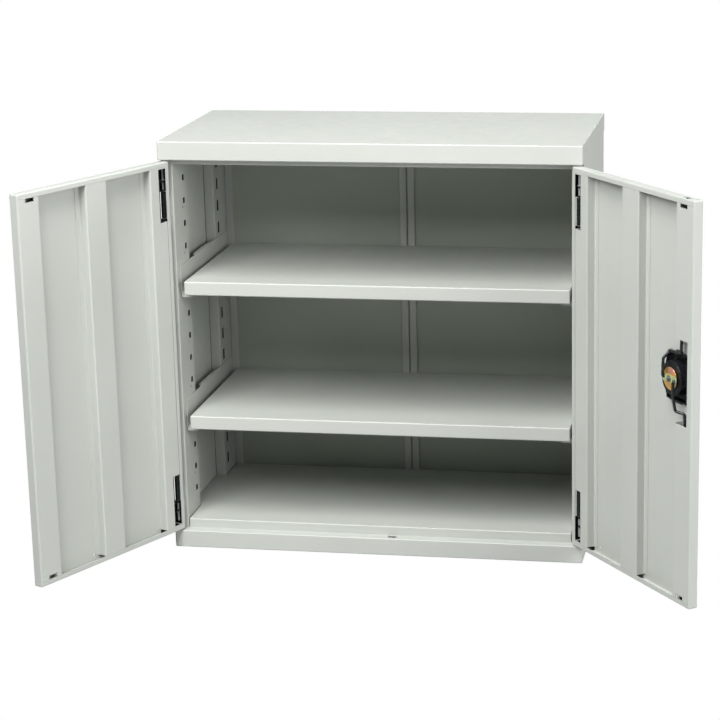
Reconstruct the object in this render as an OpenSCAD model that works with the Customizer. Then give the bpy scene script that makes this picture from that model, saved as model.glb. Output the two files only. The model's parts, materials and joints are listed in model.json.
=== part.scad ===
// Half-height sheet steel tool cabinet with two doors, two shelves and a rod lock.
// Origin: middle of the underside. +X to the viewer's right, +Y to the back, +Z up.

/* [Cabinet] */
// Width over the top and base trays
cabinet_w = 900; // [800:10:1200]
// Depth over the top and base trays
cabinet_d = 450; // [400:10:600]
// Height over everything
cabinet_h = 900; // [880:10:1300]
// Thickness of the carcass sheet
sheet_t = 1.2; // [0.8:0.1:1.6]
// Height of the top tray's folded walls
top_tray_h = 40; // [34:1:50]
// Height of the base tray's folded walls
base_tray_h = 38; // [34:1:50]
// Width of the base tray's inward flanges at the sides and the back
base_flange_w = 30; // [28:1:40]
// Width of the base tray's flange behind the doors
base_front_flange_w = 15; // [12:1:24]
// Height of the floor pan's folded edges
floor_pan_h = 20; // [12:1:30]
// Gap between the floor pan's ends and the posts
pan_end_gap = 1.5; // [1:0.1:3]
// How far the header rail shows below the doors' top edge
rail_overlap = 9.5; // [6:0.5:14]
// Depth of the header rail's flanges
rail_flange_w = 25; // [15:1:40]

/* [Posts and slots] */
// Width of a post, from the side panel's outer face to the shelf space
post_w = 25; // [22:0.5:32]
// Depth of a front post
front_post_d = 101; // [90:1:110]
// Depth of a rear post
rear_post_d = 104.6; // [90:0.1:110]
// Width of the flanges that join a post to the side panel
post_flange_w = 13; // [8:1:18]
// Pitch of the shelf slots
slot_pitch = 50; // [50:5:60]
// Least height between the highest front slot's centre and the header rail
slot_end_gap = 35; // [30:1:60]
// Width of a slot
slot_w = 16; // [14:0.5:18]
// Height of the centre of the lowest front slot
front_slot_z = 106; // [100:1:110]
// Height of a front slot
front_slot_h = 13; // [12:0.5:16]
// Distance of the front slots from the front post's rear edge
front_slot_inset = 23; // [18:1:40]
// Height of the centre of the lowest rear slot
rear_slot_z = 93; // [90:1:100]
// Height of a rear slot
rear_slot_h = 25; // [18:1:30]
// Distance of the rear slots from the rear post's front edge
rear_slot_inset = 29; // [20:0.5:40]
// Diameter of the small gauge holes in the front posts
gauge_hole_d = 5; // [3:0.5:5]
// Distance of the gauge holes in front of the front slots' centre line
gauge_hole_inset = 12; // [11:0.5:16]

/* [Shelves] */
// Slot that carries the upper shelf, counted from the lowest one
upper_shelf_slot = 10; // [8:1:11]
// Slot that carries the lower shelf, counted from the lowest one
lower_shelf_slot = 4; // [2:1:6]
// Drop from a front slot's centre to the seat of a shelf on it
shelf_seat_drop = 43; // [40:1:46]
// Height of a shelf's folded lip
shelf_lip = 30; // [24:1:36]
// Depth of the return fold under a shelf's lip
shelf_return = 12; // [8:1:18]
// Gap between a shelf's end and the post, when the shelf lies in the middle
shelf_end_gap = 8.8; // [8.4:0.2:12]
// How far the shelves are pushed over to the right
shelf_shift = 4.6; // [0:0.2:5.4]
// Gap between a shelf's front edge and the plane of the posts
shelf_setback = 1; // [0.5:0.5:5]
// Thickness of a shelf bracket
bracket_t = 1.5; // [1.2:0.1:2]
// Gap between a bracket's web and the post
bracket_gap = 0.3; // [0.2:0.1:0.4]
// Height of a bracket's web
bracket_h = 61; // [55:1:70]
// Distance of a bracket's front end behind the shelf's front
bracket_setback = 22; // [16:1:30]
// Width of a bracket's foot under the shelf
bracket_foot_w = 24.7; // [20:0.1:30]
// Height of the foot's front end, which is folded down
bracket_flap_h = 9; // [5:0.5:12]
// Width of a bracket's top flange, which reaches out between the posts
bracket_wing_w = 7.8; // [6:0.2:10]
// Distance of that flange from the front post
wing_front_gap = 40; // [30:1:50]
// Distance of that flange from the rear post
wing_rear_gap = 3; // [2:1:20]

/* [Back] */
// Width of the box-folded edge of a back panel
back_fold_w = 16; // [12:1:24]
// How far the folded edges stand forward
back_fold_d = 6.8; // [5:0.1:10]
// Gap between the two back panels' folded edges
back_seam = 2.6; // [1:0.2:5]
// Width of a side panel's flange round the back
side_back_flange = 48; // [40:1:60]

/* [Doors] */
// Thickness of a door
door_t = 21.5; // [20:0.5:24]
// Thickness of the door sheet
door_sheet_t = 1.2; // [0.8:0.1:1.4]
// Gap between a closed door and the posts
door_back_gap = 2.5; // [2:0.1:4]
// Gap between a door's hinge edge and the cabinet's side
door_side_gap = 1.5; // [1:0.1:2]
// Gap between the two closed doors
door_centre_gap = 1; // [1:0.5:4]
// Gap under and over a closed door
door_end_gap = 2.75; // [2:0.25:4]
// Width of the door's returned edges
door_return_w = 11; // [9:0.5:12]
// Opening angle of the left door at rest
left_open_angle = 115.2; // [0:0.1:130]
// Opening angle of the right door at rest
right_open_angle = 127; // [0:0.1:130]
// Diameter of the drain hole in each door
drain_hole_d = 4; // [3:0.5:5]
// Distance of the left door's drain hole from its hinge edge
left_drain_u = 269; // [265:1:300]
// Distance of the right door's drain hole from its hinge edge
right_drain_u = 81; // [75:1:150]

/* [Door stiffeners] */
// Thickness of the stiffener sheet
stiffener_t = 1; // [0.8:0.1:1.2]
// Width of the weld flanges along a stiffener
weld_flange_w = 12; // [8:1:14]
// Width of the hinge-side stiffener
hinge_stiffener_w = 49; // [44:1:56]
// Distance of the middle stiffener from the hinge edge
middle_stiffener_u = 193; // [180:1:200]
// Width of the middle stiffener
middle_stiffener_w = 62; // [50:1:66]
// Width of the stiffener along the door's free edge
edge_stiffener_w = 59; // [56:1:64]
// Width of the hanging slots in the edge stiffener
hang_slot_w = 24; // [18:1:28]
// Height of the hanging slots
hang_slot_h = 8; // [6:0.5:10]

/* [Hinges] */
// Distance of the hinge axis from the cabinet's side
hinge_in = 7.5; // [7.2:0.1:7.8]
// Distance of the hinge axis behind the door's outer face
hinge_back = 7.5; // [7.2:0.1:7.8]
// Radius of a hinge pin
hinge_pin_r = 2.2; // [1.8:0.1:2.6]
// Radial clearance of the pin in its knuckle
hinge_clearance = 0.06; // [0.02:0.01:0.1]
// Outer radius of the knuckle
knuckle_r = 5.5; // [5:0.1:5.6]
// Length of the knuckle
knuckle_len = 56; // [40:1:56]
// Thickness of the frame leaf
leaf_t = 1.6; // [1.2:0.1:1.8]
// Width of the leaf's flange on the post
leaf_flange_w = 19; // [14:1:20]
// Height of the window in the hinge-side stiffener
hinge_window_h = 114; // [108:1:120]
// Width of that window
hinge_window_w = 23; // [20:1:26]
// Distance of the window from the door's end
hinge_window_end = 13.5; // [13:0.5:30]
// Thickness of the hinge bracket's plates
hinge_bracket_t = 2; // [1.5:0.1:2.5]

/* [Lock] */
// Distance of the lock's centre from the door's free edge
lock_edge = 70; // [68:1:74]
// Height of the lock's centre
lock_z = 497; // [480:1:505]
// Width of the lock's moulded body
lock_body_w = 73; // [71:1:76]
// Height of the lock's moulded body
lock_body_h = 98; // [90:1:104]
// Radius of the moulded body's corners
lock_corner_r = 4; // [3:0.5:6]
// Radius of the round dish housing
dish_outer_r = 35; // [34:0.5:36]
// Radius of the dish
dish_r = 31; // [29:0.5:32]
// Depth of the dish behind the door's outer face
dish_depth = 13; // [11:0.5:14]
// How far the dish housing reaches into the cabinet from the door's outer face
dish_back = 22; // [20:0.5:22]
// How far the outer rim stands proud of the door
bezel_t = 2; // [1.5:0.1:3]
// Radius of the handle's spindle
spindle_r = 7; // [6.8:0.1:8]
// Radius of the key plug
plug_r = 5; // [4:0.1:5]
// Radial clearance of the turning lock parts
lock_clearance = 0.06; // [0.02:0.01:0.1]
// Radius of the cam disc
cam_r = 23; // [22:0.5:24]
// Thickness of the cam disc
cam_t = 2; // [1.5:0.1:2.5]
// Thickness of the lever plate on the cam disc
lever_t = 1.5; // [1:0.1:2]
// Width of the lever plate
lever_w = 15; // [13:0.5:18]
// Gap between the dish housing and the cam disc
cam_gap = 1.5; // [1:0.1:2.5]
// Radius of the circle that the rods are hooked on
rod_pitch_r = 18.4; // [17:0.1:19]
// Diameter of a lock rod
rod_d = 6; // [5:0.2:6]
// Distance of a rod's straight run from the door's free edge
rod_edge = 33.6; // [32:0.2:36]
// Depth of a rod's straight run behind the door's outer face
rod_depth = 13.5; // [12:0.5:14]
// Width of the slots that the rod tips pass
rod_slot_w = 18; // [16:1:20]
// Depth of the slots that the rod tips pass
rod_slot_d = 10; // [9:0.5:11]
// Height of the cut-out in the edge stiffener
lock_window_h = 170; // [160:2:190]
// Distance of the cut-out's middle below the lock's centre
lock_window_drop = 2; // [0:0.5:6]
// Width of the cut-out in the edge stiffener
lock_window_w = 45; // [40:1:48]

/* [Hidden] */
$fn = 48;
eps = 0.5;              // overshoot of a cut
fit_gap = 0.3;          // gap between sheets that don't touch
paint = "#c6ccc4";      // pale green-grey powder coat
inner_paint = "#bcc3ba";
black_plastic = "#1c1e20";
dark_steel = "#26282a";
zinc = "#a9adb0";
yellow_zinc = "#c9a44c";

// Planes of the carcass
half_w = cabinet_w / 2;
front_y = -cabinet_d / 2;
back_y = cabinet_d / 2;
top_under_z = cabinet_h - sheet_t;
header_z = cabinet_h - top_tray_h;
side_x = half_w - sheet_t;              // outer face of a side panel
side_in_x = side_x - sheet_t;           // inner face of a side panel
post_x = half_w - post_w;               // face of a post towards the shelves
seat_y = front_y + door_t + door_back_gap;  // front plane of posts, rail and floor pan
back_flange_y = back_y - sheet_t;       // rear face of the side panels' back flanges
back_sheet_y = back_flange_y - sheet_t; // rear face of the back panels
back_field_y = back_sheet_y - sheet_t;  // front face of the back panels' field
back_fold_y = back_field_y - back_fold_d + sheet_t;
front_post_back_y = seat_y + front_post_d;
rear_post_front_y = back_sheet_y - rear_post_d;
front_slot_y = front_post_back_y - front_slot_inset;
rear_slot_y = rear_post_front_y + rear_slot_inset;
floor_z = base_tray_h + floor_pan_h;
shelf_front_y = seat_y + shelf_setback;
shelf_back_y = back_fold_y - fit_gap;
shelf_x = post_x - shelf_end_gap;

// Doors, in door space: x runs from the hinge edge, y from the outer face
door_w = half_w - door_side_gap - door_centre_gap / 2;
door_z0 = base_tray_h + door_end_gap;
door_z1 = header_z - door_end_gap;
door_mid_z = (door_z0 + door_z1) / 2;
rail_z = door_z1 - rail_overlap;
slot_count = 1 + floor((rail_z - slot_end_gap - front_slot_z) / slot_pitch);
hinge_u = hinge_in - door_side_gap;
hinge_stiffener_u = door_return_w;
edge_stiffener_u = door_w - door_sheet_t - edge_stiffener_w;
stiffener_z0 = door_z0 + door_return_w + fit_gap;
stiffener_z1 = door_z1 - door_return_w - fit_gap;
stiffener_h = stiffener_z1 - stiffener_z0;
stiffener_d = door_t - door_sheet_t;
hang_slot_shift = 3.5;  // from the slot's centre to the stiffener's middle
hang_slot_u = edge_stiffener_u + edge_stiffener_w / 2 - hang_slot_shift;
hang_slot_end = 15.5;   // from the door's end to the slot's centre
drain_hole_gap = 4;     // from the door's returned edge to the hole's centre
drain_hole_z = door_z0 + door_return_w + drain_hole_gap;

// Hinges, at the upper end; the lower ones are mirrored about the door's middle
window_z1 = door_z1 - hinge_window_end;
window_z0 = window_z1 - hinge_window_h;
lug_t = 2.5;
lug_gap = 2.5;          // between a lug and the knuckle
lug_step = 17;          // free height between the middle and the outer lug
lug_inset = 1;          // from the window's edge to the inner lug
inner_lug_z = window_z0 + lug_inset;
knuckle_z = inner_lug_z + lug_t + lug_gap;
middle_lug_z = knuckle_z + knuckle_len + lug_gap;
outer_lug_z = middle_lug_z + lug_t + lug_step;
pin_top_z = window_z1 - 4;
knuckle_notch = 2;      // free height above and below the knuckle
strip_notch_u = 3;      // depth of the notch through the door's side wall
skin_notch_u = 9;       // depth of the notch through the door's outer sheet

// Lock
lock_u = door_w - lock_edge;
rod_u = door_w - rod_edge;
cam_y0 = dish_back + cam_gap;
cam_y1 = cam_y0 + cam_t;
lever_y1 = cam_y1 + lever_t;
rod_r = rod_d / 2;
rod_lift = 0.2;                         // free gap between a rod and the lever plate
rod_axis_y = lever_y1 + rod_r + rod_lift;   // depth of a rod where it crosses the plate
square_w = 9;                           // the spindle's square end
plug_end_y = dish_depth + 5;            // where the key plug's bore ends
screw_r = 2;
guide_z1 = door_z1 - door_sheet_t / 2;
guide_z0 = door_z0 + door_sheet_t / 2;
upper_offset = rod_u - lock_u;
lower_offset = rod_u - lock_u - rod_pitch_r;
guide_run = rod_u - lock_u + rod_pitch_r;
guide_rise = guide_z1 - lock_z;
guide_reach = sqrt(guide_run * guide_run + guide_rise * guide_rise);
// Lean of the unlocked upper rod, which stands straight when it is locked
upper_rod_lean = acos(upper_offset / guide_reach) - atan2(guide_rise, guide_run);
tip_inset = 2.2;        // how far an unlocked rod tip stays inside the door
upper_rod_len = (door_z1 - tip_inset - lock_z + upper_offset * sin(upper_rod_lean))
    / cos(upper_rod_lean);
lower_rod_len = lock_z - door_z0 - tip_inset;
// Bends of a rod: height of the first bend over the hook, height and depth of the crossing
upper_rod_bends = [38, 51, 15];
lower_rod_bends = [29, 62, 24];
rod_cross_rise = 3;     // how far the rod rises as it crosses over

LEFT = -1;
RIGHT = 1;
UPPER = 1;
LOWER = -1;

// ---- helpers ----

// A box given by its low and high corners
module block(low, high) {
    translate(low) cube(high - low);
}

// Shapes are drawn for the left side and mirrored for the right
module on_side(side) {
    mirror([side == RIGHT ? 1 : 0, 0, 0]) children();
}

// Puts a piece drawn in door space on the open door
module on_door(side) {
    angle = side == LEFT ? left_open_angle : right_open_angle;
    translate([side * (half_w - hinge_in), front_y + hinge_back, 0])
        rotate([0, 0, side * angle])
            translate([-side * (half_w - hinge_in), -front_y - hinge_back, 0])
                on_side(side)
                    translate([-half_w + door_side_gap, front_y, 0]) children();
}

// Hinge parts are drawn for the upper hinge and mirrored for the lower
module at_level(level) {
    translate([0, 0, door_mid_z])
        mirror([0, 0, level == LOWER ? 1 : 0])
            translate([0, 0, -door_mid_z]) children();
}

// A cylinder along +Y from y0 to y1
module y_cylinder(r, y0, y1) {
    translate([0, y0, 0]) rotate([-90, 0, 0]) cylinder(r = r, h = y1 - y0);
}

// A plate with round corners, in the XZ plane, from y0 to y1
module rounded_plate(w, h, r, y0, y1) {
    translate([0, y1, 0]) rotate([90, 0, 0]) linear_extrude(height = y1 - y0) union() {
        square([w - 2 * r, h], center = true);
        square([w, h - 2 * r], center = true);
        for (sx = [-1, 1], sz = [-1, 1])
            translate([sx * (w / 2 - r), sz * (h / 2 - r)]) circle(r = r);
    }
}

// A round bar from one point to another
module bar(from, to, r) {
    way = to - from;
    length = norm(way);
    translate(from)
        rotate([0, acos(way[2] / length), atan2(way[1], way[0])])
            cylinder(r = r, h = length);
}

// The slot that a lock rod's tip passes, through a tray's sheet from z0 to z1
module rod_tip_slot(z0, z1) {
    translate([half_w - door_side_gap - rod_u, front_y + rod_depth, z0])
        translate([-rod_slot_w / 2, -rod_slot_d / 2, 0])
            cube([rod_slot_w, rod_slot_d, z1 - z0]);
}

// ---- carcass ----

module top_tray() {
    color(paint) difference() {
        block([-half_w, front_y, header_z], [half_w, back_y, cabinet_h]);
        block([-side_x, front_y + sheet_t, header_z + sheet_t],
              [side_x, back_y - sheet_t, top_under_z]);
        block([-side_x, seat_y, header_z - eps], [side_x, back_y - sheet_t, top_under_z]);
        rod_tip_slot(header_z - eps, header_z + sheet_t + eps);
    }
}

module base_tray() {
    color(paint) difference() {
        block([-half_w, front_y, 0], [half_w, back_y, base_tray_h]);
        block([-side_x, front_y + sheet_t, sheet_t],
              [side_x, back_y - sheet_t, base_tray_h - sheet_t]);
        block([-half_w + base_flange_w, seat_y + base_front_flange_w, sheet_t],
              [half_w - base_flange_w, back_y - base_flange_w, base_tray_h + eps]);
        rod_tip_slot(base_tray_h - sheet_t - eps, base_tray_h + eps);
    }
}

module header_rail() {
    color(paint) difference() {
        block([-post_x, seat_y, rail_z], [post_x, seat_y + rail_flange_w, top_under_z]);
        block([-post_x - eps, seat_y + sheet_t, rail_z + sheet_t],
              [post_x + eps, seat_y + rail_flange_w + eps, top_under_z - sheet_t]);
    }
}

module floor_pan() {
    pan_x = post_x - pan_end_gap;
    pan_back_y = back_fold_y - fit_gap;
    recess_y0 = front_post_back_y + fit_gap;
    recess_y1 = rear_post_front_y - fit_gap;
    color(inner_paint) difference() {
        union() {
            block([-pan_x, seat_y, base_tray_h], [pan_x, pan_back_y, floor_z]);
            block([-side_in_x, recess_y0, base_tray_h], [side_in_x, recess_y1, floor_z]);
        }
        block([-pan_x + sheet_t, seat_y + sheet_t, base_tray_h - eps],
              [pan_x - sheet_t, pan_back_y - sheet_t, floor_z - sheet_t]);
        block([-side_in_x + sheet_t, recess_y0 + sheet_t, base_tray_h - eps],
              [side_in_x - sheet_t, recess_y1 - sheet_t, floor_z - sheet_t]);
    }
}

module side_panel(side) {
    color(paint) on_side(side) {
        block([-side_x, seat_y, base_tray_h], [-side_in_x, back_flange_y, top_under_z]);
        block([-side_x, back_sheet_y, base_tray_h],
              [-side_x + side_back_flange, back_flange_y, top_under_z]);
    }
}

// One back panel, seen from above: field, fold at the post and fold at the seam
module back_panel(side) {
    post_edge = -post_x + fit_gap;
    seam_edge = side == LEFT ? 0 : -back_seam;
    lap = side == LEFT ? back_fold_w - sheet_t : 0;
    color(inner_paint) on_side(side)
        translate([0, 0, base_tray_h])
            linear_extrude(height = top_under_z - base_tray_h)
                difference() {
                    union() {
                        translate([post_edge, back_field_y])
                            square([seam_edge - post_edge + lap, sheet_t]);
                        for (edge = [post_edge, seam_edge - back_fold_w])
                            translate([edge, back_fold_y])
                                square([back_fold_w, back_sheet_y - back_fold_y]);
                    }
                    for (edge = [post_edge, seam_edge - back_fold_w])
                        translate([edge + sheet_t, back_fold_y + sheet_t])
                            square([back_fold_w - 2 * sheet_t,
                                    back_field_y - back_fold_y - sheet_t]);
                    if (side == RIGHT)
                        translate([seam_edge - back_fold_w + sheet_t, back_field_y])
                            square([back_fold_w, sheet_t + eps]);
                }
}

// Outline of a post from above, open towards the side panel
module post_outline(y0, y1) {
    difference() {
        translate([-side_in_x, y0]) square([side_in_x - post_x, y1 - y0]);
        translate([-side_in_x - eps, y0 + sheet_t])
            square([side_in_x - post_x - sheet_t + eps, y1 - y0 - 2 * sheet_t]);
    }
    translate([-side_in_x, y0]) square([sheet_t, post_flange_w]);
    translate([-side_in_x, y1 - post_flange_w]) square([sheet_t, post_flange_w]);
}

module post_slots(y, first_z, h) {
    for (k = [0 : slot_count - 1])
        block([-post_x - sheet_t - eps, y - slot_w / 2, first_z + k * slot_pitch - h / 2],
              [-post_x + eps, y + slot_w / 2, first_z + k * slot_pitch + h / 2]);
}

// A small round hole beside every second front slot
module gauge_holes() {
    for (k = [1 : 2 : slot_count - 1])
        translate([-post_x - sheet_t - eps, front_slot_y - gauge_hole_inset,
                   front_slot_z + k * slot_pitch - front_slot_h])
            rotate([0, 90, 0]) cylinder(d = gauge_hole_d, h = sheet_t + 2 * eps);
}

module front_post(side) {
    color(paint) on_side(side) difference() {
        translate([0, 0, base_tray_h])
            linear_extrude(height = top_under_z - base_tray_h)
                post_outline(seat_y, front_post_back_y);
        post_slots(front_slot_y, front_slot_z, front_slot_h);
        gauge_holes();
    }
}

module rear_post(side) {
    color(paint) on_side(side) difference() {
        translate([0, 0, base_tray_h])
            linear_extrude(height = top_under_z - base_tray_h)
                post_outline(rear_post_front_y, back_sheet_y);
        post_slots(rear_slot_y, rear_slot_z, rear_slot_h);
    }
}

// ---- shelves ----

// Height of the bracket foot's top, where a shelf on this slot rests
function shelf_seat_z(slot) = front_slot_z + slot * slot_pitch - shelf_seat_drop;

module shelf(slot) {
    low = shelf_seat_z(slot);
    high = low + shelf_lip;
    color(paint) translate([shelf_shift, 0, 0]) difference() {
        block([-shelf_x, shelf_front_y, low], [shelf_x, shelf_back_y, high]);
        block([-shelf_x + sheet_t, shelf_front_y + sheet_t, low + sheet_t],
              [shelf_x - sheet_t, shelf_back_y - sheet_t, high - sheet_t]);
        block([-shelf_x + shelf_return, shelf_front_y + shelf_return, low - eps],
              [shelf_x - shelf_return, shelf_back_y - shelf_return, high - sheet_t]);
    }
}

// A tongue that lies on a slot's lower edge and drops behind the post's face
module bracket_hook(web_x, y, slot_bottom) {
    side_gap = 1;           // beside the tongue in its slot
    hook_t = 3;
    drop = 5;
    nose_x = -post_x - sheet_t - fit_gap;
    y0 = y - slot_w / 2 + side_gap;
    y1 = y + slot_w / 2 - side_gap;
    block([nose_x - hook_t, y0, slot_bottom], [web_x + bracket_t, y1, slot_bottom + hook_t]);
    block([nose_x - hook_t, y0, slot_bottom - drop], [nose_x, y1, slot_bottom + hook_t]);
}

// The flange along the top of a bracket's web, with slanted ends, seen from above
module bracket_wing(web_x) {
    front_slant = 13;
    rear_slant = 58;
    y0 = front_post_back_y + wing_front_gap;
    y1 = rear_post_front_y - wing_rear_gap;
    linear_extrude(height = bracket_t)
        polygon([[web_x + bracket_t, y0], [web_x + bracket_t, y1], [web_x, y1],
                 [web_x - bracket_wing_w, y1 - rear_slant],
                 [web_x - bracket_wing_w, y0 + front_slant], [web_x, y0]]);
}

module shelf_bracket(side, slot) {
    web_x = -post_x + bracket_gap;
    foot_x = web_x + bracket_foot_w;
    front = shelf_front_y + bracket_setback;
    seat = shelf_seat_z(slot);
    low = seat - bracket_t;
    high = low + bracket_h;
    front_slot_low = front_slot_z + slot * slot_pitch - front_slot_h / 2;
    rear_slot_low = rear_slot_z + slot * slot_pitch - rear_slot_h / 2;
    color(paint) on_side(side) {
        block([web_x, front, low], [web_x + bracket_t, shelf_back_y, high]);
        block([web_x, front, low], [foot_x, shelf_back_y, seat]);
        block([web_x, front, seat - bracket_flap_h], [foot_x, front + bracket_t, seat]);
        translate([0, 0, high - bracket_t]) bracket_wing(web_x);
        bracket_hook(web_x, front_slot_y, front_slot_low);
        bracket_hook(web_x, rear_slot_y, rear_slot_low);
    }
}

// ---- hinges ----

module hinge_leaf(side, level) {
    axis_x = -half_w + hinge_in;
    axis_y = front_y + hinge_back;
    plate_x = axis_x - knuckle_r;
    z0 = knuckle_z;
    z1 = knuckle_z + knuckle_len;
    color(paint) on_side(side) at_level(level) difference() {
        union() {
            translate([axis_x, axis_y, z0]) cylinder(r = knuckle_r, h = knuckle_len);
            block([plate_x, axis_y, z0], [plate_x + leaf_t, seat_y, z1]);
            block([plate_x, seat_y - leaf_t, z0], [plate_x + leaf_flange_w, seat_y, z1]);
        }
        translate([axis_x, axis_y, z0 - eps])
            cylinder(r = hinge_pin_r + hinge_clearance, h = knuckle_len + 2 * eps);
    }
}

// A base on the inside of the door's outer sheet with three lugs, in door space
module hinge_bracket(side, level) {
    edge_gap = 0.4;         // from the door's side wall to the lugs
    base_gap = 0.5;         // from the stiffener's leg to the base
    base_margin = 4;        // free width beside the base in the window
    base_u = hinge_stiffener_u + stiffener_t + base_gap;
    base_u1 = base_u + hinge_window_w - base_margin;
    lug_u1 = base_u1 - 2;
    lug_y1 = hinge_back + knuckle_r;
    color(dark_steel) on_door(side) at_level(level) difference() {
        union() {
            block([base_u, door_sheet_t, inner_lug_z],
                  [base_u1, door_sheet_t + hinge_bracket_t, outer_lug_z + lug_t]);
            for (z = [inner_lug_z, middle_lug_z, outer_lug_z])
                block([door_sheet_t + edge_gap, door_sheet_t, z], [lug_u1, lug_y1, z + lug_t]);
        }
        translate([hinge_u, hinge_back, inner_lug_z - eps])
            cylinder(r = hinge_pin_r + hinge_clearance, h = hinge_window_h);
    }
}

module hinge_pin(side, level) {
    foot_z = inner_lug_z - 2;
    collar_z = outer_lug_z + lug_t;
    collar_h = 2;
    collar_r = hinge_pin_r + 1.6;
    color(zinc) on_door(side) at_level(level) translate([hinge_u, hinge_back, 0]) {
        translate([0, 0, foot_z]) cylinder(r = hinge_pin_r, h = pin_top_z - foot_z);
        translate([0, 0, collar_z]) cylinder(r = collar_r, h = collar_h);
    }
}

// ---- doors, drawn in door space ----

// Room for the knuckle and its leaf in the door's hinge edge
module knuckle_notch() {
    z0 = knuckle_z - knuckle_notch;
    z1 = knuckle_z + knuckle_len + knuckle_notch;
    block([-eps, -eps, z0], [strip_notch_u, door_t + eps, z1]);
    block([-eps, -eps, z0], [skin_notch_u, door_sheet_t + eps, z1]);
}

module door_panel(side) {
    t = door_sheet_t;
    drain_u = side == LEFT ? left_drain_u : right_drain_u;
    color(paint) on_door(side) difference() {
        block([0, 0, door_z0], [door_w, door_t, door_z1]);
        block([t, t, door_z0 + t], [door_w - t, door_t - t, door_z1 - t]);
        block([door_return_w, door_t - t - eps, door_z0 + door_return_w],
              [door_w - t, door_t + eps, door_z1 - door_return_w]);
        for (level = [UPPER, LOWER]) at_level(level) knuckle_notch();
        translate([drain_u, 0, drain_hole_z]) y_cylinder(drain_hole_d / 2, -eps, t + eps);
        if (side == RIGHT) {
            translate([lock_u, 0, lock_z])
                rounded_plate(lock_body_w + 2 * fit_gap, lock_body_h + 2 * fit_gap,
                              lock_corner_r + fit_gap, -eps, t + eps);
            for (z = [door_z0 - eps, door_z1 - t - eps])
                block([rod_u - rod_slot_w / 2, rod_depth - rod_slot_d / 2, z],
                      [rod_u + rod_slot_w / 2, rod_depth + rod_slot_d / 2, z + t + 2 * eps]);
        }
    }
}

// A hat section welded to the outer sheet: legs, top and two weld flanges
module stiffener(u, w, flange_left, flange_right) {
    t = stiffener_t;
    translate([u, door_sheet_t, stiffener_z0]) linear_extrude(height = stiffener_h) {
        difference() {
            square([w, stiffener_d]);
            translate([t, -eps]) square([w - 2 * t, stiffener_d - t + eps]);
        }
        translate([-flange_left, 0]) square([flange_left + t, t]);
        translate([w - t, 0]) square([flange_right + t, t]);
    }
}

module hinge_stiffener(side) {
    u = hinge_stiffener_u;
    color(paint) on_door(side) difference() {
        stiffener(u, hinge_stiffener_w, 0, weld_flange_w);
        for (level = [UPPER, LOWER]) at_level(level)
            block([u - eps, door_sheet_t - eps, window_z0],
                  [u + hinge_window_w, door_t + eps, window_z1]);
    }
}

module middle_stiffener(side) {
    color(paint) on_door(side)
        stiffener(middle_stiffener_u, middle_stiffener_w, weld_flange_w, weld_flange_w);
}

module edge_stiffener(side) {
    u = edge_stiffener_u;
    cut_z = lock_z - lock_window_drop;
    color(paint) on_door(side) difference() {
        stiffener(u, edge_stiffener_w, weld_flange_w, 0);
        for (z = [door_z0 + hang_slot_end, door_z1 - hang_slot_end])
            block([hang_slot_u - hang_slot_w / 2, door_t - 2 * stiffener_t, z - hang_slot_h / 2],
                  [hang_slot_u + hang_slot_w / 2, door_t + eps, z + hang_slot_h / 2]);
        if (side == RIGHT)
            block([u - weld_flange_w - eps, door_sheet_t - eps, cut_z - lock_window_h / 2],
                  [u + lock_window_w, door_t + eps, cut_z + lock_window_h / 2]);
    }
}

// ---- lock, drawn in door space about the lock's centre ----

module at_lock() {
    on_door(RIGHT) translate([lock_u, 0, lock_z]) children();
}

// Small tabs on the dish housing: a pointed one above, a block and a thin fin below
module housing_tabs() {
    y0 = 8;
    y1 = dish_back - 4;
    translate([0, y1, 0]) rotate([90, 0, 0]) linear_extrude(height = y1 - y0)
        polygon([[-22.5, 39.5], [-30, 15], [-10, 31]]);
    block([-25, y0, -35], [-6, y1, -28]);
    block([-22.5, y0, -43], [-20, y1, -28]);
    block([-22.5, y0, -43], [-6, y1, -41.5]);
}

module lock_housing() {
    flange = 5.5;           // the rim's overlap over the cut-out
    flange_r = 8;
    wall = 2.5;
    body_back = 8;
    clip_w = 20;
    clip_h = 6;
    clip_t = 3.5;
    clip_z = lock_body_h / 2 + 1;
    color(black_plastic) at_lock() difference() {
        union() {
            rounded_plate(lock_body_w + 2 * flange, lock_body_h + 2 * flange, flange_r,
                          -bezel_t, 0);
            difference() {
                rounded_plate(lock_body_w, lock_body_h, lock_corner_r, 0, body_back);
                rounded_plate(lock_body_w - 2 * wall, lock_body_h - 2 * wall,
                              lock_corner_r / 2, wall, body_back + eps);
            }
            y_cylinder(dish_outer_r, 0, dish_back);
            housing_tabs();
            for (s = [-1, 1])
                block([-clip_w / 2, door_sheet_t, s * clip_z - clip_h / 2],
                      [clip_w / 2, door_sheet_t + clip_t, s * clip_z + clip_h / 2]);
        }
        y_cylinder(dish_r, -bezel_t - eps, dish_depth);
        y_cylinder(spindle_r + lock_clearance, dish_depth - eps, dish_back + eps);
    }
}

module turn_handle() {
    face_y = 0.5 - bezel_t;
    plate_t = 3;
    base_y1 = dish_depth - fit_gap;
    base_y0 = base_y1 - plate_t;
    plate_r = dish_r - 1;
    grip_w = 14;
    key_boss_r = 10.5;
    color(black_plastic) at_lock() difference() {
        union() {
            y_cylinder(plate_r, base_y0, base_y1);
            intersection() {
                block([-dish_r, face_y, -grip_w / 2], [dish_r, base_y1, grip_w / 2]);
                y_cylinder(plate_r, face_y - eps, base_y1 + eps);
            }
            y_cylinder(key_boss_r, face_y, base_y1);
            y_cylinder(spindle_r, base_y0, cam_y0);
            block([-square_w / 2, cam_y0 - eps, -square_w / 2],
                  [square_w / 2, lever_y1, square_w / 2]);
        }
        y_cylinder(plug_r + lock_clearance, face_y - eps, plug_end_y);
        y_cylinder(screw_r + lock_clearance, plug_end_y + 1, lever_y1 + eps);
    }
}

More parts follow.
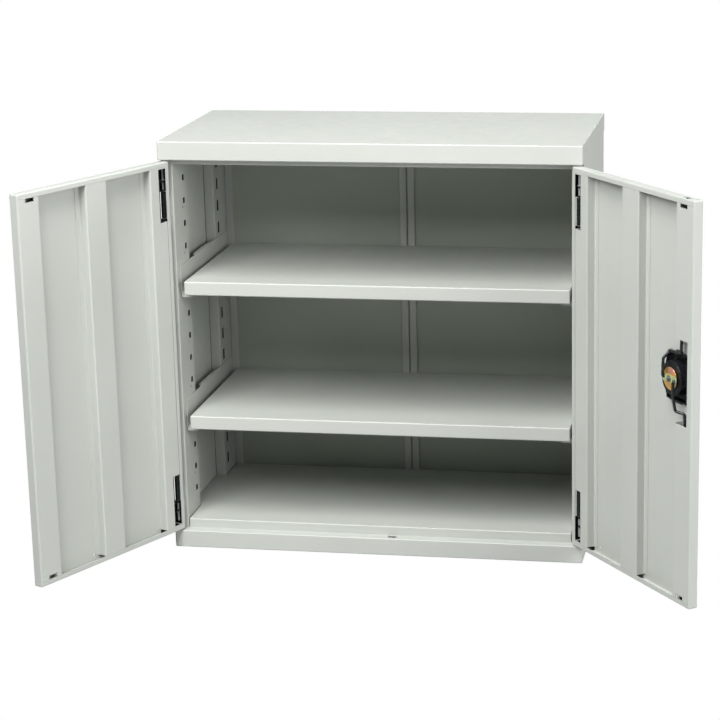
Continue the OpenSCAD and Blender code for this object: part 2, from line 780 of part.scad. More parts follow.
module key_plug() {
    face_y = 0.2 - bezel_t;
    keyway_w = 1.4;
    keyway_h = 6.8;
    color(zinc) at_lock() difference() {
        y_cylinder(plug_r, face_y, plug_end_y - fit_gap);
        block([-keyway_w / 2, face_y - eps, -keyway_h / 2],
              [keyway_w / 2, plug_end_y / 2, keyway_h / 2]);
    }
}

// The holes that the disc and the lever plate have in common
module cam_holes(y0, y1) {
    hole_w = square_w + 0.1;
    block([-hole_w / 2, y0 - eps, -hole_w / 2], [hole_w / 2, y1 + eps, hole_w / 2]);
    for (s = [-1, 1])
        translate([s * rod_pitch_r, 0, 0])
            y_cylinder(rod_r + lock_clearance, y0 - eps, y1 + eps);
}

module cam_disc() {
    color(yellow_zinc) at_lock() difference() {
        y_cylinder(cam_r, cam_y0, cam_y1);
        cam_holes(cam_y0, cam_y1);
    }
}

// The plate on the disc that joins the two rods' hooks
module cam_lever() {
    end_w = 6.5;            // from a rod's centre to the plate's end
    corner_r = 6.4;
    color(yellow_zinc) at_lock() difference() {
        rounded_plate(2 * (rod_pitch_r + end_w), lever_w, corner_r, cam_y1, lever_y1);
        cam_holes(cam_y1, lever_y1);
    }
}

module cam_screw() {
    washer_r = 7;
    washer_t = 1.2;
    head_r = 4.2;
    head_t = 2.6;
    cross_w = 5.2;
    cross_t = 1;
    cross_depth = 1.4;
    head_y1 = lever_y1 + washer_t + head_t;
    color(zinc) at_lock() difference() {
        union() {
            y_cylinder(washer_r, lever_y1, lever_y1 + washer_t);
            y_cylinder(head_r, lever_y1, head_y1);
            y_cylinder(screw_r, plug_end_y + 2, lever_y1 + washer_t);
        }
        for (turn = [0, 90])
            rotate([0, turn, 0])
                block([-cross_w / 2, head_y1 - cross_depth, -cross_t / 2],
                      [cross_w / 2, head_y1 + eps, cross_t / 2]);
    }
}

// A lock rod from its hook at the origin, running up; offset is its step towards the free edge
module lock_rod(offset, length, bends) {
    tip = 5;
    tip_end_r = 0.6 * rod_r;
    knee_r = rod_r + 0.05;
    stub_y = cam_y0 - 1.2;
    rise = bends[0];
    cross = bends[1];
    cross_y = bends[2];
    points = [
        [0, stub_y, 0],
        [0, rod_axis_y, 0],
        [0, rod_axis_y, rise],
        [0, cross_y, cross],
        [offset, rod_depth, cross + rod_cross_rise],
        [offset, rod_depth, length - tip]];
    for (k = [0 : len(points) - 2]) bar(points[k], points[k + 1], rod_r);
    for (k = [1 : len(points) - 2]) translate(points[k]) sphere(r = knee_r);
    translate(points[len(points) - 1]) cylinder(r1 = rod_r, r2 = tip_end_r, h = tip);
}

module upper_lock_rod() {
    color(dark_steel) at_lock() translate([-rod_pitch_r, 0, 0])
        rotate([0, upper_rod_lean, 0])
            lock_rod(upper_offset, upper_rod_len, upper_rod_bends);
}

module lower_lock_rod() {
    color(dark_steel) at_lock() translate([rod_pitch_r, 0, 0])
        mirror([0, 0, 1]) lock_rod(lower_offset, lower_rod_len, lower_rod_bends);
}

top_tray();
header_rail();
base_tray();
floor_pan();
side_panel(LEFT);  // left_side_panel
side_panel(RIGHT);  // right_side_panel
back_panel(LEFT);  // left_back_panel
back_panel(RIGHT);  // right_back_panel
front_post(LEFT);  // front_left_post
front_post(RIGHT);  // front_right_post
rear_post(LEFT);  // rear_left_post
rear_post(RIGHT);  // rear_right_post
shelf(upper_shelf_slot);  // upper_shelf
shelf(lower_shelf_slot);  // lower_shelf
shelf_bracket(LEFT, upper_shelf_slot);  // upper_left_shelf_bracket
shelf_bracket(RIGHT, upper_shelf_slot);  // upper_right_shelf_bracket
shelf_bracket(LEFT, lower_shelf_slot);  // lower_left_shelf_bracket
shelf_bracket(RIGHT, lower_shelf_slot);  // lower_right_shelf_bracket
hinge_leaf(LEFT, UPPER);  // upper_left_hinge_leaf
hinge_leaf(LEFT, LOWER);  // lower_left_hinge_leaf
hinge_leaf(RIGHT, UPPER);  // upper_right_hinge_leaf
hinge_leaf(RIGHT, LOWER);  // lower_right_hinge_leaf
door_panel(LEFT);  // left_door_panel
hinge_stiffener(LEFT);  // left_door_hinge_stiffener
middle_stiffener(LEFT);  // left_door_middle_stiffener
edge_stiffener(LEFT);  // left_door_edge_stiffener
hinge_bracket(LEFT, UPPER);  // upper_left_hinge_bracket
hinge_bracket(LEFT, LOWER);  // lower_left_hinge_bracket
hinge_pin(LEFT, UPPER);  // upper_left_hinge_pin
hinge_pin(LEFT, LOWER);  // lower_left_hinge_pin
door_panel(RIGHT);  // right_door_panel
hinge_stiffener(RIGHT);  // right_door_hinge_stiffener
middle_stiffener(RIGHT);  // right_door_middle_stiffener
edge_stiffener(RIGHT);  // right_door_edge_stiffener
hinge_bracket(RIGHT, UPPER);  // upper_right_hinge_bracket
hinge_bracket(RIGHT, LOWER);  // lower_right_hinge_bracket
hinge_pin(RIGHT, UPPER);  // upper_right_hinge_pin
hinge_pin(RIGHT, LOWER);  // lower_right_hinge_pin
lock_housing();
turn_handle();
key_plug();
cam_disc();
cam_lever();
cam_screw();
upper_lock_rod();
lower_lock_rod();
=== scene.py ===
"""Dressed model of a half-height sheet steel tool cabinet with two open doors."""

import json
import logging
import math
from dataclasses import dataclass
from enum import Enum
from typing import Callable, ClassVar, Optional, Sequence

import bmesh
import bpy
from mathutils import Matrix, Vector


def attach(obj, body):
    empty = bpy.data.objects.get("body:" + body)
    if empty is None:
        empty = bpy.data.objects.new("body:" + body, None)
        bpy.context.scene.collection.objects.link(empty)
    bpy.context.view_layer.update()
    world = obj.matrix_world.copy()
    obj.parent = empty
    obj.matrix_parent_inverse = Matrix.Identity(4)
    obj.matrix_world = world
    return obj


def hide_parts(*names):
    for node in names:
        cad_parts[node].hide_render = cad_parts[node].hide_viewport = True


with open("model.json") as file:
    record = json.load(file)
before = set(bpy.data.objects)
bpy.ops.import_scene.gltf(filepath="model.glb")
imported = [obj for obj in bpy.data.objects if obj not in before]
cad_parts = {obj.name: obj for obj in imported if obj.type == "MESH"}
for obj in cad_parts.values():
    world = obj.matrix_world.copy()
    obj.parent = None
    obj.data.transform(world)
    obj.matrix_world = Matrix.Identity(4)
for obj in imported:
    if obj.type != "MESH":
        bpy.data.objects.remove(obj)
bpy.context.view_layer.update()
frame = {"nodes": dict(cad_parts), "record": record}

MM = 0.001
Point = Sequence[float]
Sizes = Sequence[float]
Node = bpy.types.Node
Edge = bmesh.types.BMEdge
BODY_OF = {node: body for body, nodes in frame["record"]["behaviour"]["bodies"].items()
           for node in nodes}
HINGE_X, HINGE_Y = 442.5, 217.5      # the left hinge's axis is at -HINGE_X, -HINGE_Y
DOOR_X, DOOR_Y = 448.5, 225.0        # outer corner of the closed left door, also negative
DOOR_MID_Z = 449.0
OPEN_ANGLES = {"left": 115.2, "right": 127.0}
log = logging.getLogger("cabinet")


class Side(Enum):
    """The side of the cabinet that a piece belongs to."""

    LEFT = -1
    RIGHT = 1

    @property
    def word(self) -> str:
        """The side's name in the node names."""
        return self.name.lower()

    def mirror(self) -> Matrix:
        """Turns a piece drawn for the left side into this side's."""
        return Matrix.Diagonal((-self.value, 1, 1, 1))

    def door_space(self) -> Matrix:
        """Places a piece drawn flat from the hinge edge, in mm, on the open door."""
        angle = math.radians(OPEN_ANGLES[self.word])
        pivot = Vector((self.value * HINGE_X, -HINGE_Y, 0.0))
        swing = Matrix.Rotation(self.value * angle, 4, "Z")
        closed = self.mirror() @ Matrix.Translation((-DOOR_X, -DOOR_Y, 0.0))
        return Matrix.Translation(pivot) @ swing @ Matrix.Translation(-pivot) @ closed


# ---- materials


class NodeTree:
    """A short way to write a material's node tree."""

    def __init__(self, name: str) -> None:
        """Makes an empty node material with an output and a Principled shader.

        Args:
            name: The material's name.
        """
        self.material = bpy.data.materials.new(name)
        self.material.use_nodes = True
        self.tree = self.material.node_tree
        self.tree.nodes.clear()
        self.output = self.add("ShaderNodeOutputMaterial")
        self.shader = self.add("ShaderNodeBsdfPrincipled")
        self.join(self.shader, "BSDF", self.output, "Surface")

    def add(self, kind: str, **values: object) -> Node:
        """Adds a node and sets its inputs or properties.

        Args:
            kind: The node's type name.
            **values: Inputs by socket name, with underscores for spaces, or properties.

        Returns:
            The new node.
        """
        node = self.tree.nodes.new(kind)
        for key, value in values.items():
            if hasattr(node, key):
                setattr(node, key, value)
            else:
                node.inputs[key.replace("_", " ")].default_value = value
        return node

    def join(self, source: Node, out: str, target: Node, into: str) -> None:
        """Links one node's output to another node's input."""
        self.tree.links.new(source.outputs[out], target.inputs[into])

    def noise(self, scale: float, detail: float = 2.0, roughness: float = 0.5) -> Node:
        """Adds a noise texture on object coordinates.

        Args:
            scale: Cycles per metre.
            detail: Octaves.
            roughness: Weight of the fine octaves.

        Returns:
            The noise node.
        """
        place = self.add("ShaderNodeTexCoord")
        texture = self.add("ShaderNodeTexNoise", Scale=scale, Detail=detail, Roughness=roughness)
        self.join(place, "Object", texture, "Vector")
        return texture

    def spread(self, noise: Node, low: float = 0.0, high: float = 1.0) -> Node:
        """Stretches a noise's middle range to low..high."""
        node = self.add("ShaderNodeMapRange", From_Min=0.3, From_Max=0.7, To_Min=low, To_Max=high)
        self.join(noise, "Fac", node, "Value")
        return node

    def tint(self, noise: Node, dark: Sizes, light: Sizes) -> None:
        """Colours the shader between two colours by a noise."""
        mix = self.add("ShaderNodeMix", data_type="RGBA")
        mix.inputs["A"].default_value = (*dark, 1.0)
        mix.inputs["B"].default_value = (*light, 1.0)
        self.join(self.spread(noise), "Result", mix, "Factor")
        self.join(mix, "Result", self.shader, "Base Color")

    def bump(self, noise: Node, strength: float, height: float) -> None:
        """Turns a noise into surface relief of a height in metres."""
        relief = self.add("ShaderNodeBump", Strength=strength, Distance=height)
        self.join(noise, "Fac", relief, "Height")
        self.join(relief, "Normal", self.shader, "Normal")


@dataclass(frozen=True)
class Finish:
    """A finish with clouded colours, uneven gloss and a fine relief."""

    name: str
    colours: Sequence[Sizes]
    roughness: float
    uneven: Sizes          # how far the roughness falls and rises
    cloud: Sizes           # scale and octaves of the colour clouds
    gloss_scale: float
    relief: Sizes          # scale, strength and height in metres
    metallic: float = 0.0
    specular: float = 0.5

    def build(self) -> bpy.types.Material:
        """Returns the finished material."""
        t = NodeTree(self.name)
        t.shader.inputs["Metallic"].default_value = self.metallic
        t.shader.inputs["Specular IOR Level"].default_value = self.specular
        self.colour(t, t.noise(*self.cloud))
        low, high = (self.roughness + step for step in self.uneven)
        gloss = t.spread(t.noise(self.gloss_scale, 3.0), low, high)
        t.join(gloss, "Result", t.shader, "Roughness")
        scale, strength, height = self.relief
        t.bump(t.noise(scale, 2.0), strength, height)
        return t.material

    def colour(self, t: NodeTree, cloud: Node) -> None:
        """Colours the shader between the two colours."""
        t.tint(cloud, *self.colours)


@dataclass(frozen=True)
class PowderCoat(Finish):
    """Stove-cured powder coat: a satin film with fine orange peel."""

    roughness: float = 0.42
    uneven: Sizes = (-0.04, 0.05)
    cloud: Sizes = (4.0, 3.0)
    gloss_scale: float = 55.0
    relief: Sizes = (620.0, 0.35, 0.00006)


@dataclass(frozen=True)
class Plated(Finish):
    """Zinc or nickel plate on steel."""

    roughness: float = 0.33
    uneven: Sizes = (-0.08, 0.12)
    cloud: Sizes = (90.0, 4.0)
    gloss_scale: float = 260.0
    relief: Sizes = (900.0, 0.2, 0.00003)
    metallic: float = 1.0


@dataclass(frozen=True)
class Moulded(Finish):
    """Black moulded plastic, or steel with a black coat."""

    roughness: float = 0.30
    uneven: Sizes = (-0.06, 0.10)
    cloud: Sizes = (60.0, 3.0)
    gloss_scale: float = 180.0
    relief: Sizes = (1500.0, 0.4, 0.00004)
    specular: float = 0.25


@dataclass(frozen=True)
class Passivated(Finish):
    """Chromated zinc with its rainbow film, whose colours follow one another."""

    roughness: float = 0.30
    uneven: Sizes = (-0.06, 0.12)
    cloud: Sizes = (60.0, 3.0)
    gloss_scale: float = 300.0
    relief: Sizes = (900.0, 0.2, 0.00003)
    metallic: float = 0.85

    def colour(self, t: NodeTree, cloud: Node) -> None:
        """Colours the shader along a ramp of all the colours."""
        ramp = t.add("ShaderNodeValToRGB")
        stops = ramp.color_ramp.elements
        for k, colour in enumerate(self.colours):
            at = 0.32 + 0.36 * k / (len(self.colours) - 1)
            stop = stops[k] if k < 2 else stops.new(at)
            stop.position = at
            stop.color = (*colour, 1.0)
        t.join(cloud, "Fac", ramp, "Fac")
        t.join(ramp, "Color", t.shader, "Base Color")


class Finishes:
    """One material for each of the record's slots, painted shade for hollows and the back panels'
    fields, and more for the lock.
    """

    def __init__(self) -> None:
        """Builds every finish once."""
        coats = (
            PowderCoat("powder_coat", ((0.478, 0.500, 0.466), (0.500, 0.522, 0.488))),
            # Painted shade: a darker, greener coat for the back panels' recessed fields, standing
            # in for the shade inside the cabinet.
            PowderCoat("inner_coat", ((0.385, 0.425, 0.370), (0.405, 0.445, 0.390)), 0.5),
            # Painted shade: a near-black coat for faces in hollows and recesses that lie in shade.
            PowderCoat("hollow_coat", ((0.004, 0.005, 0.004), (0.008, 0.009, 0.008)), 0.9),
            # Partly painted light: a pale zinc colour with metallic lowered to 0.45, so the hinge
            # pins show diffuse brightness in their dark windows.
            Plated("zinc_plate", ((0.72, 0.73, 0.74), (0.86, 0.87, 0.88)), metallic=0.45),
            Plated("yellow_zinc", ((0.62, 0.40, 0.12), (0.80, 0.62, 0.28))),
            Plated("dull_zinc", ((0.24, 0.25, 0.25), (0.36, 0.37, 0.36)), 0.5),
            Plated("plug_metal", ((0.60, 0.60, 0.62), (0.72, 0.72, 0.74)), 0.22),
            Moulded("black_moulding", ((0.006, 0.0065, 0.008), (0.011, 0.0115, 0.014))),
            Moulded("black_steel", ((0.006, 0.010, 0.010), (0.011, 0.018, 0.018)), 0.22,
                    specular=0.5),
            Passivated("disc_passivate", ((0.85, 0.42, 0.48), (0.95, 0.45, 0.10),
                                          (0.90, 0.58, 0.20), (0.70, 0.34, 0.42))),
            Passivated("lever_passivate", ((0.52, 0.64, 0.30), (0.40, 0.56, 0.26),
                                           (0.66, 0.72, 0.36), (0.74, 0.62, 0.30)),
                       metallic=0.55))
        self.by_slot = {coat.name: coat.build() for coat in coats}

    def dress(self, piece: bpy.types.Object, *names: str) -> None:
        """Gives a piece one material, or several in the order of its faces' indices.

        Args:
            piece: The object to dress.
            *names: The materials' names; the first one is the slot's.
        """
        if piece.data.materials:
            piece.data.materials.clear()
        for name in names:
            piece.data.materials.append(self.by_slot[name])


def link(name: str, data: bpy.types.ID) -> bpy.types.Object:
    """Makes an object of a mesh, lamp or camera and links it to the scene."""
    thing = bpy.data.objects.new(name, data)
    bpy.context.collection.objects.link(thing)
    return thing


# ---- mesh building


class Forge:
    """A piece under construction, in millimetres, shaped with bmesh operators."""

    SHARP = math.radians(50.0)
    finishes: ClassVar[Finishes]      # made once, by main

    def __init__(self) -> None:
        """Starts with an empty mesh."""
        self.bm = bmesh.new()

    def block(self, low: Point, high: Point) -> "Forge":
        """Adds a box given by its low and high corners."""
        made = bmesh.ops.create_cube(self.bm, size=1.0)["verts"]
        size = [b - a for a, b in zip(low, high)]
        centre = [(a + b) / 2 for a, b in zip(low, high)]
        bmesh.ops.scale(self.bm, vec=size, verts=made)
        bmesh.ops.translate(self.bm, vec=centre, verts=made)
        return self

    def strip(self, points: Sequence[Point], way: Point) -> "Forge":
        """Adds a folded strip: a few points joined by edges and extruded.

        Args:
            points: The section's corners in order.
            way: Direction and length of the extrusion.

        Returns:
            The forge itself, so that calls can be chained.
        """
        line = [self.bm.verts.new(p) for p in points]
        edges = [self.bm.edges.new(pair) for pair in zip(line, line[1:])]
        self.draw(edges, way)
        return self

    def draw(self, edges: Sequence[Edge], way: Point) -> list[Edge]:
        """Extrudes edges along a vector.

        Args:
            edges: The edges to extrude.
            way: The vector.

        Returns:
            The new edges at the far end.
        """
        made = bmesh.ops.extrude_edge_only(self.bm, edges=edges)["geom"]
        verts = [g for g in made if isinstance(g, bmesh.types.BMVert)]
        bmesh.ops.translate(self.bm, vec=way, verts=verts)
        far = set(verts)
        return [g for g in made if isinstance(g, Edge) and set(g.verts) <= far]

    def bend(self, radius: float, segments: int = 4,
             pick: Optional[Callable[[Edge], bool]] = None) -> "Forge":
        """Rounds the folds between faces.

        Args:
            radius: Outer bend radius.
            segments: Facets across the bend.
            pick: Chooses among the folds; all of them without it.

        Returns:
            The forge itself.
        """
        folds = [e for e in self.bm.edges if len(e.link_faces) == 2
                 and e.calc_face_angle(0.0) > math.radians(20.0) and (pick is None or pick(e))]
        bmesh.ops.bevel(self.bm, geom=folds, offset=radius, offset_type="OFFSET",
                        segments=segments, profile=0.5, affect="EDGES", material=-1,
                        clamp_overlap=True)
        return self

    def carve(self, low: Point, high: Point) -> "Forge":
        """Cuts a box-shaped opening out of the sheet, before it gets its thickness."""
        for axis in range(3):
            for at in (low[axis], high[axis]):
                near = [f for f in self.bm.faces if self.touches(f, low, high)]
                geom = {g for f in near for g in (f, *f.edges, *f.verts)}
                normal = [1.0 if k == axis else 0.0 for k in range(3)]
                place = [at if k == axis else 0.0 for k in range(3)]
                bmesh.ops.bisect_plane(self.bm, geom=list(geom), dist=1e-5,
                                       plane_co=place, plane_no=normal)
        inside = [f for f in self.bm.faces
                  if all(a < c < b for a, c, b in zip(low, f.calc_center_bounds(), high))]
        bmesh.ops.delete(self.bm, geom=inside, context="FACES")
        return self

    @staticmethod
    def touches(face: bmesh.types.BMFace, low: Point, high: Point) -> bool:
        """Tells whether a face's bounding box meets a box."""
        return all(min(v.co[k] for v in face.verts) < high[k]
                   and max(v.co[k] for v in face.verts) > low[k] for k in range(3))

    def thicken(self, thickness: float, inner: Point) -> "Forge":
        """Gives the sheet its thickness on its inner side.

        Args:
            thickness: Sheet thickness.
            inner: A point on the inner side, which most faces look away from.

        Returns:
            The forge itself.
        """
        self.bm.normal_update()
        eye = Vector(inner)
        vote = sum(f.calc_area() * (1 if f.normal.dot(f.calc_center_median() - eye) > 0 else -1)
                   for f in self.bm.faces)
        if vote < 0:
            bmesh.ops.reverse_faces(self.bm, faces=self.bm.faces)
            self.bm.normal_update()
        bmesh.ops.solidify(self.bm, geom=list(self.bm.faces), thickness=thickness)
        return self

    def lathe(self, section: Sequence[Sizes], axis: str = "Y", at: Point = (0, 0, 0),
              steps: int = 48) -> "Forge":
        """Adds a turned shape.

        Args:
            section: Radius and height of each corner, from pole to pole or as a closed ring.
            axis: "Y" or "Z".
            at: A point on the axis that the heights count from.
            steps: Facets round the axis.

        Returns:
            The forge itself.
        """
        turned = bmesh.new()
        line = [turned.verts.new((r, h, 0.0) if axis == "Y" else (r, 0.0, h)) for r, h in section]
        edges = [turned.edges.new(pair) for pair in zip(line, line[1:])]
        if section[0][0] > 0:
            edges.append(turned.edges.new((line[-1], line[0])))
        way = (0.0, 1.0, 0.0) if axis == "Y" else (0.0, 0.0, 1.0)
        bmesh.ops.spin(turned, geom=line + edges, cent=(0, 0, 0), axis=way, dvec=(0, 0, 0),
                       angle=math.tau, steps=steps, use_merge=True)
        bmesh.ops.remove_doubles(turned, verts=turned.verts, dist=1e-4)
        bmesh.ops.recalc_face_normals(turned, faces=turned.faces)
        bmesh.ops.translate(turned, vec=at, verts=turned.verts)
        self.take(turned)
        return self

    def take(self, other: bmesh.types.BMesh) -> None:
        """Adds another mesh's faces to this one and frees it."""
        mesh = bpy.data.meshes.new("taken")
        other.to_mesh(mesh)
        other.free()
        self.bm.from_mesh(mesh)
        bpy.data.meshes.remove(mesh)

    def sweep(self, points: Sequence[Point], radius: float, bend: float, tip: float = 0.0,
              sides: int = 20) -> "Forge":
        """Adds a round bar that is bent along a line of points.

        Args:
            points: Corners of the bar's centre line.
            radius: Bar radius.
            bend: Bend radius of the centre line.
            tip: Length of the tapered end; none at 0.
            sides: Facets round the bar.

        Returns:
            The forge itself.
        """
        wire = bmesh.new()
        path = [Vector(p) for p in points]
        way = (path[1] - path[0]).normalized()
        turn = way.to_track_quat("Z", "Y").to_matrix().to_4x4()
        made = bmesh.ops.create_circle(wire, cap_ends=True, segments=sides, radius=radius,
                                       matrix=Matrix.Translation(path[0]) @ turn)
        ring = list({e for v in made["verts"] for e in v.link_edges})
        spot = path[0]
        bar = Forge()
        bar.bm.free()
        bar.bm = wire
        for here, after in zip(path[1:-1], path[2:]):
            ahead = (after - here).normalized()
            angle = way.angle(ahead)
            reach = bend * math.tan(angle / 2)
            start = here - way * reach
            ring = bar.draw(ring, start - spot)
            side = (ahead - way * way.dot(ahead)).normalized()
            made = bmesh.ops.spin(wire, geom=ring, cent=start + side * bend,
                                  axis=way.cross(ahead).normalized(), dvec=(0, 0, 0),
                                  angle=angle, steps=7)
            ring = [g for g in made["geom_last"] if isinstance(g, Edge)]
            spot, way = here + ahead * reach, ahead
        ring = bar.draw(ring, path[-1] - way * tip - spot)
        if tip:
            ring = bar.draw(ring, way * tip)
            verts = list({v for e in ring for v in e.verts})
            bmesh.ops.scale(wire, vec=(0.6, 0.6, 0.6), verts=verts,
                            space=Matrix.Translation(-path[-1]))
        bmesh.ops.edgeloop_fill(wire, edges=ring)
        bmesh.ops.remove_doubles(wire, verts=wire.verts, dist=1e-4)
        bmesh.ops.recalc_face_normals(wire, faces=wire.faces)
        self.take(wire)
        return self

    def plate(self, width: float, height: float, corner: float, y0: float, y1: float,
              centre: Sizes = (0.0, 0.0), hole: float = 0.0) -> "Forge":
        """Adds an upright plate with round corners, and a round hole if asked for.

        Args:
            width: Size along X.
            height: Size along Z.
            corner: Corner radius.
            y0: Depth of one face.
            y1: Depth of the other face, larger than y0.
            centre: Middle of the plate in X and Z.
            hole: Radius of the hole; none at 0.

        Returns:
            The forge itself.
        """
        sheet = bmesh.new()
        upright = Matrix.Translation((centre[0], y0, centre[1])) @ Matrix.Rotation(
            math.pi / 2, 4, "X")
        made = bmesh.ops.create_grid(sheet, x_segments=1, y_segments=1, size=0.5,
                                     matrix=upright @ Matrix.Diagonal((width, height, 1, 1)))
        bmesh.ops.bevel(sheet, geom=made["verts"], offset=corner, offset_type="OFFSET",
                        segments=11, profile=0.5, affect="VERTICES", material=-1)
        if hole:
            bmesh.ops.delete(sheet, geom=list(sheet.faces), context="FACES_ONLY")
            rim = list(sheet.edges)
            made = bmesh.ops.create_circle(sheet, segments=len(rim), radius=hole, matrix=upright)
            ring = list({e for v in made["verts"] for e in v.link_edges})
            bmesh.ops.bridge_loops(sheet, edges=rim + ring)
        bmesh.ops.recalc_face_normals(sheet, faces=sheet.faces)
        if sum(f.normal.y * f.calc_area() for f in sheet.faces) > 0:
            bmesh.ops.reverse_faces(sheet, faces=sheet.faces)
        sheet.normal_update()
        bmesh.ops.solidify(sheet, geom=list(sheet.faces), thickness=y1 - y0)
        self.take(sheet)
        return self

    def split(self, co: Point, normal: Point) -> "Forge":
        """Adds an edge wherever a plane crosses the piece."""
        bmesh.ops.bisect_plane(self.bm, geom=[*self.bm.faces, *self.bm.edges, *self.bm.verts],
                               dist=1e-5, plane_co=co, plane_no=normal)
        return self

    def shade(self, pick: Callable[[Vector, Vector], bool]) -> "Forge":
        """Marks the faces that get painted shade, a dark colour standing in for the shade of
        hollows and recesses.

        Args:
            pick: Chooses a face by its normal and its middle.

        Returns:
            The forge itself.
        """
        self.bm.normal_update()
        for face in self.bm.faces:
            face.material_index = int(pick(face.normal, face.calc_center_median()))
        return self

    def place(self, matrix: Matrix) -> "Forge":
        """Moves the piece, and turns its faces out again after a mirroring matrix."""
        bmesh.ops.transform(self.bm, matrix=matrix, verts=self.bm.verts)
        if matrix.determinant() < 0:
            bmesh.ops.reverse_faces(self.bm, faces=self.bm.faces)
        return self

    def deliver(self, node: str, slot: str = "powder_coat", material: Optional[str] = None,
                shaded: str = "hollow_coat") -> bpy.types.Object:
        """Turns the mesh into the finished piece that stands for a CAD node.

        Args:
            node: The CAD node.
            slot: The record's slot that the finish belongs to.
            material: A finish of its own name, if it isn't the slot's plain one.
            shaded: The painted shade finish of the faces that were marked by shade.

        Returns:
            The new object, which rides on the node's body.
        """
        bmesh.ops.scale(self.bm, vec=(MM, MM, MM), verts=self.bm.verts)
        self.bm.normal_update()
        for face in self.bm.faces:
            face.smooth = True
        for edge in self.bm.edges:
            edge.smooth = len(edge.link_faces) == 2 and edge.calc_face_angle(0.0) < self.SHARP
        mesh = bpy.data.meshes.new(f"{node}_skin")
        self.bm.to_mesh(mesh)
        self.bm.free()
        piece = link(f"{node}_skin", mesh)
        weighted = piece.modifiers.new("flat faces", "WEIGHTED_NORMAL")
        weighted.keep_sharp = True
        self.finishes.dress(piece, material or slot, shaded)
        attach(piece, BODY_OF[node])
        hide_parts(node)
        log.info("%s: %d faces, rides on %s", piece.name, len(mesh.polygons), BODY_OF[node])
        return piece


# ---- carcass


@dataclass
class Tray:
    """The top tray, or the base tray with its flange looking up. Sizes in mm."""

    half_w: float = 450.0
    half_d: float = 225.0
    sheet: float = 1.2
    bend: float = 2.4
    seat_y: float = -201.0
    slot_x: float = 34.1
    slot_y: float = -211.5
    slot_size: Sizes = (18.0, 10.0)

    def strike_slot(self, piece: Forge, z: float) -> None:
        """Cuts the slot that a lock rod's tip passes."""
        w, d = self.slot_size
        piece.carve((self.slot_x - w / 2, self.slot_y - d / 2, z - 1),
                    (self.slot_x + w / 2, self.slot_y + d / 2, z + 1))

    def top(self, z0: float = 860.0, z1: float = 900.0) -> None:
        """Builds the top tray with the ledge that its header is folded into."""
        piece = Forge().block((-self.half_w, -self.half_d, z0), (self.half_w, self.half_d, z1))
        piece.bend(self.bend)
        piece.carve((-self.half_w + 1, self.seat_y, z0 - 1),
                    (self.half_w - 1, self.half_d - 1, z0 + 1))
        piece.carve((-self.half_w - 1, self.seat_y, z0 - 1),
                    (self.half_w + 1, self.half_d + 1, z0 + self.bend))
        self.strike_slot(piece, z0)
        piece.thicken(self.sheet, (0, 0, (z0 + z1) / 2)).deliver("top_tray")

    def base(self, height: float = 38.0, flange: float = 30.0,
             front: float = 15.0) -> None:
        """Builds the base tray with flanges folded in all round its upper edge."""
        piece = Forge().block((-self.half_w, -self.half_d, 0), (self.half_w, self.half_d, height))
        piece.bend(self.bend)
        piece.carve((-self.half_w + flange, self.seat_y + front, height - 1),
                    (self.half_w - flange, self.half_d - flange, height + 1))
        self.strike_slot(piece, height)
        piece.thicken(self.sheet, (0, 0, height / 2))
        piece.deliver("base_tray")


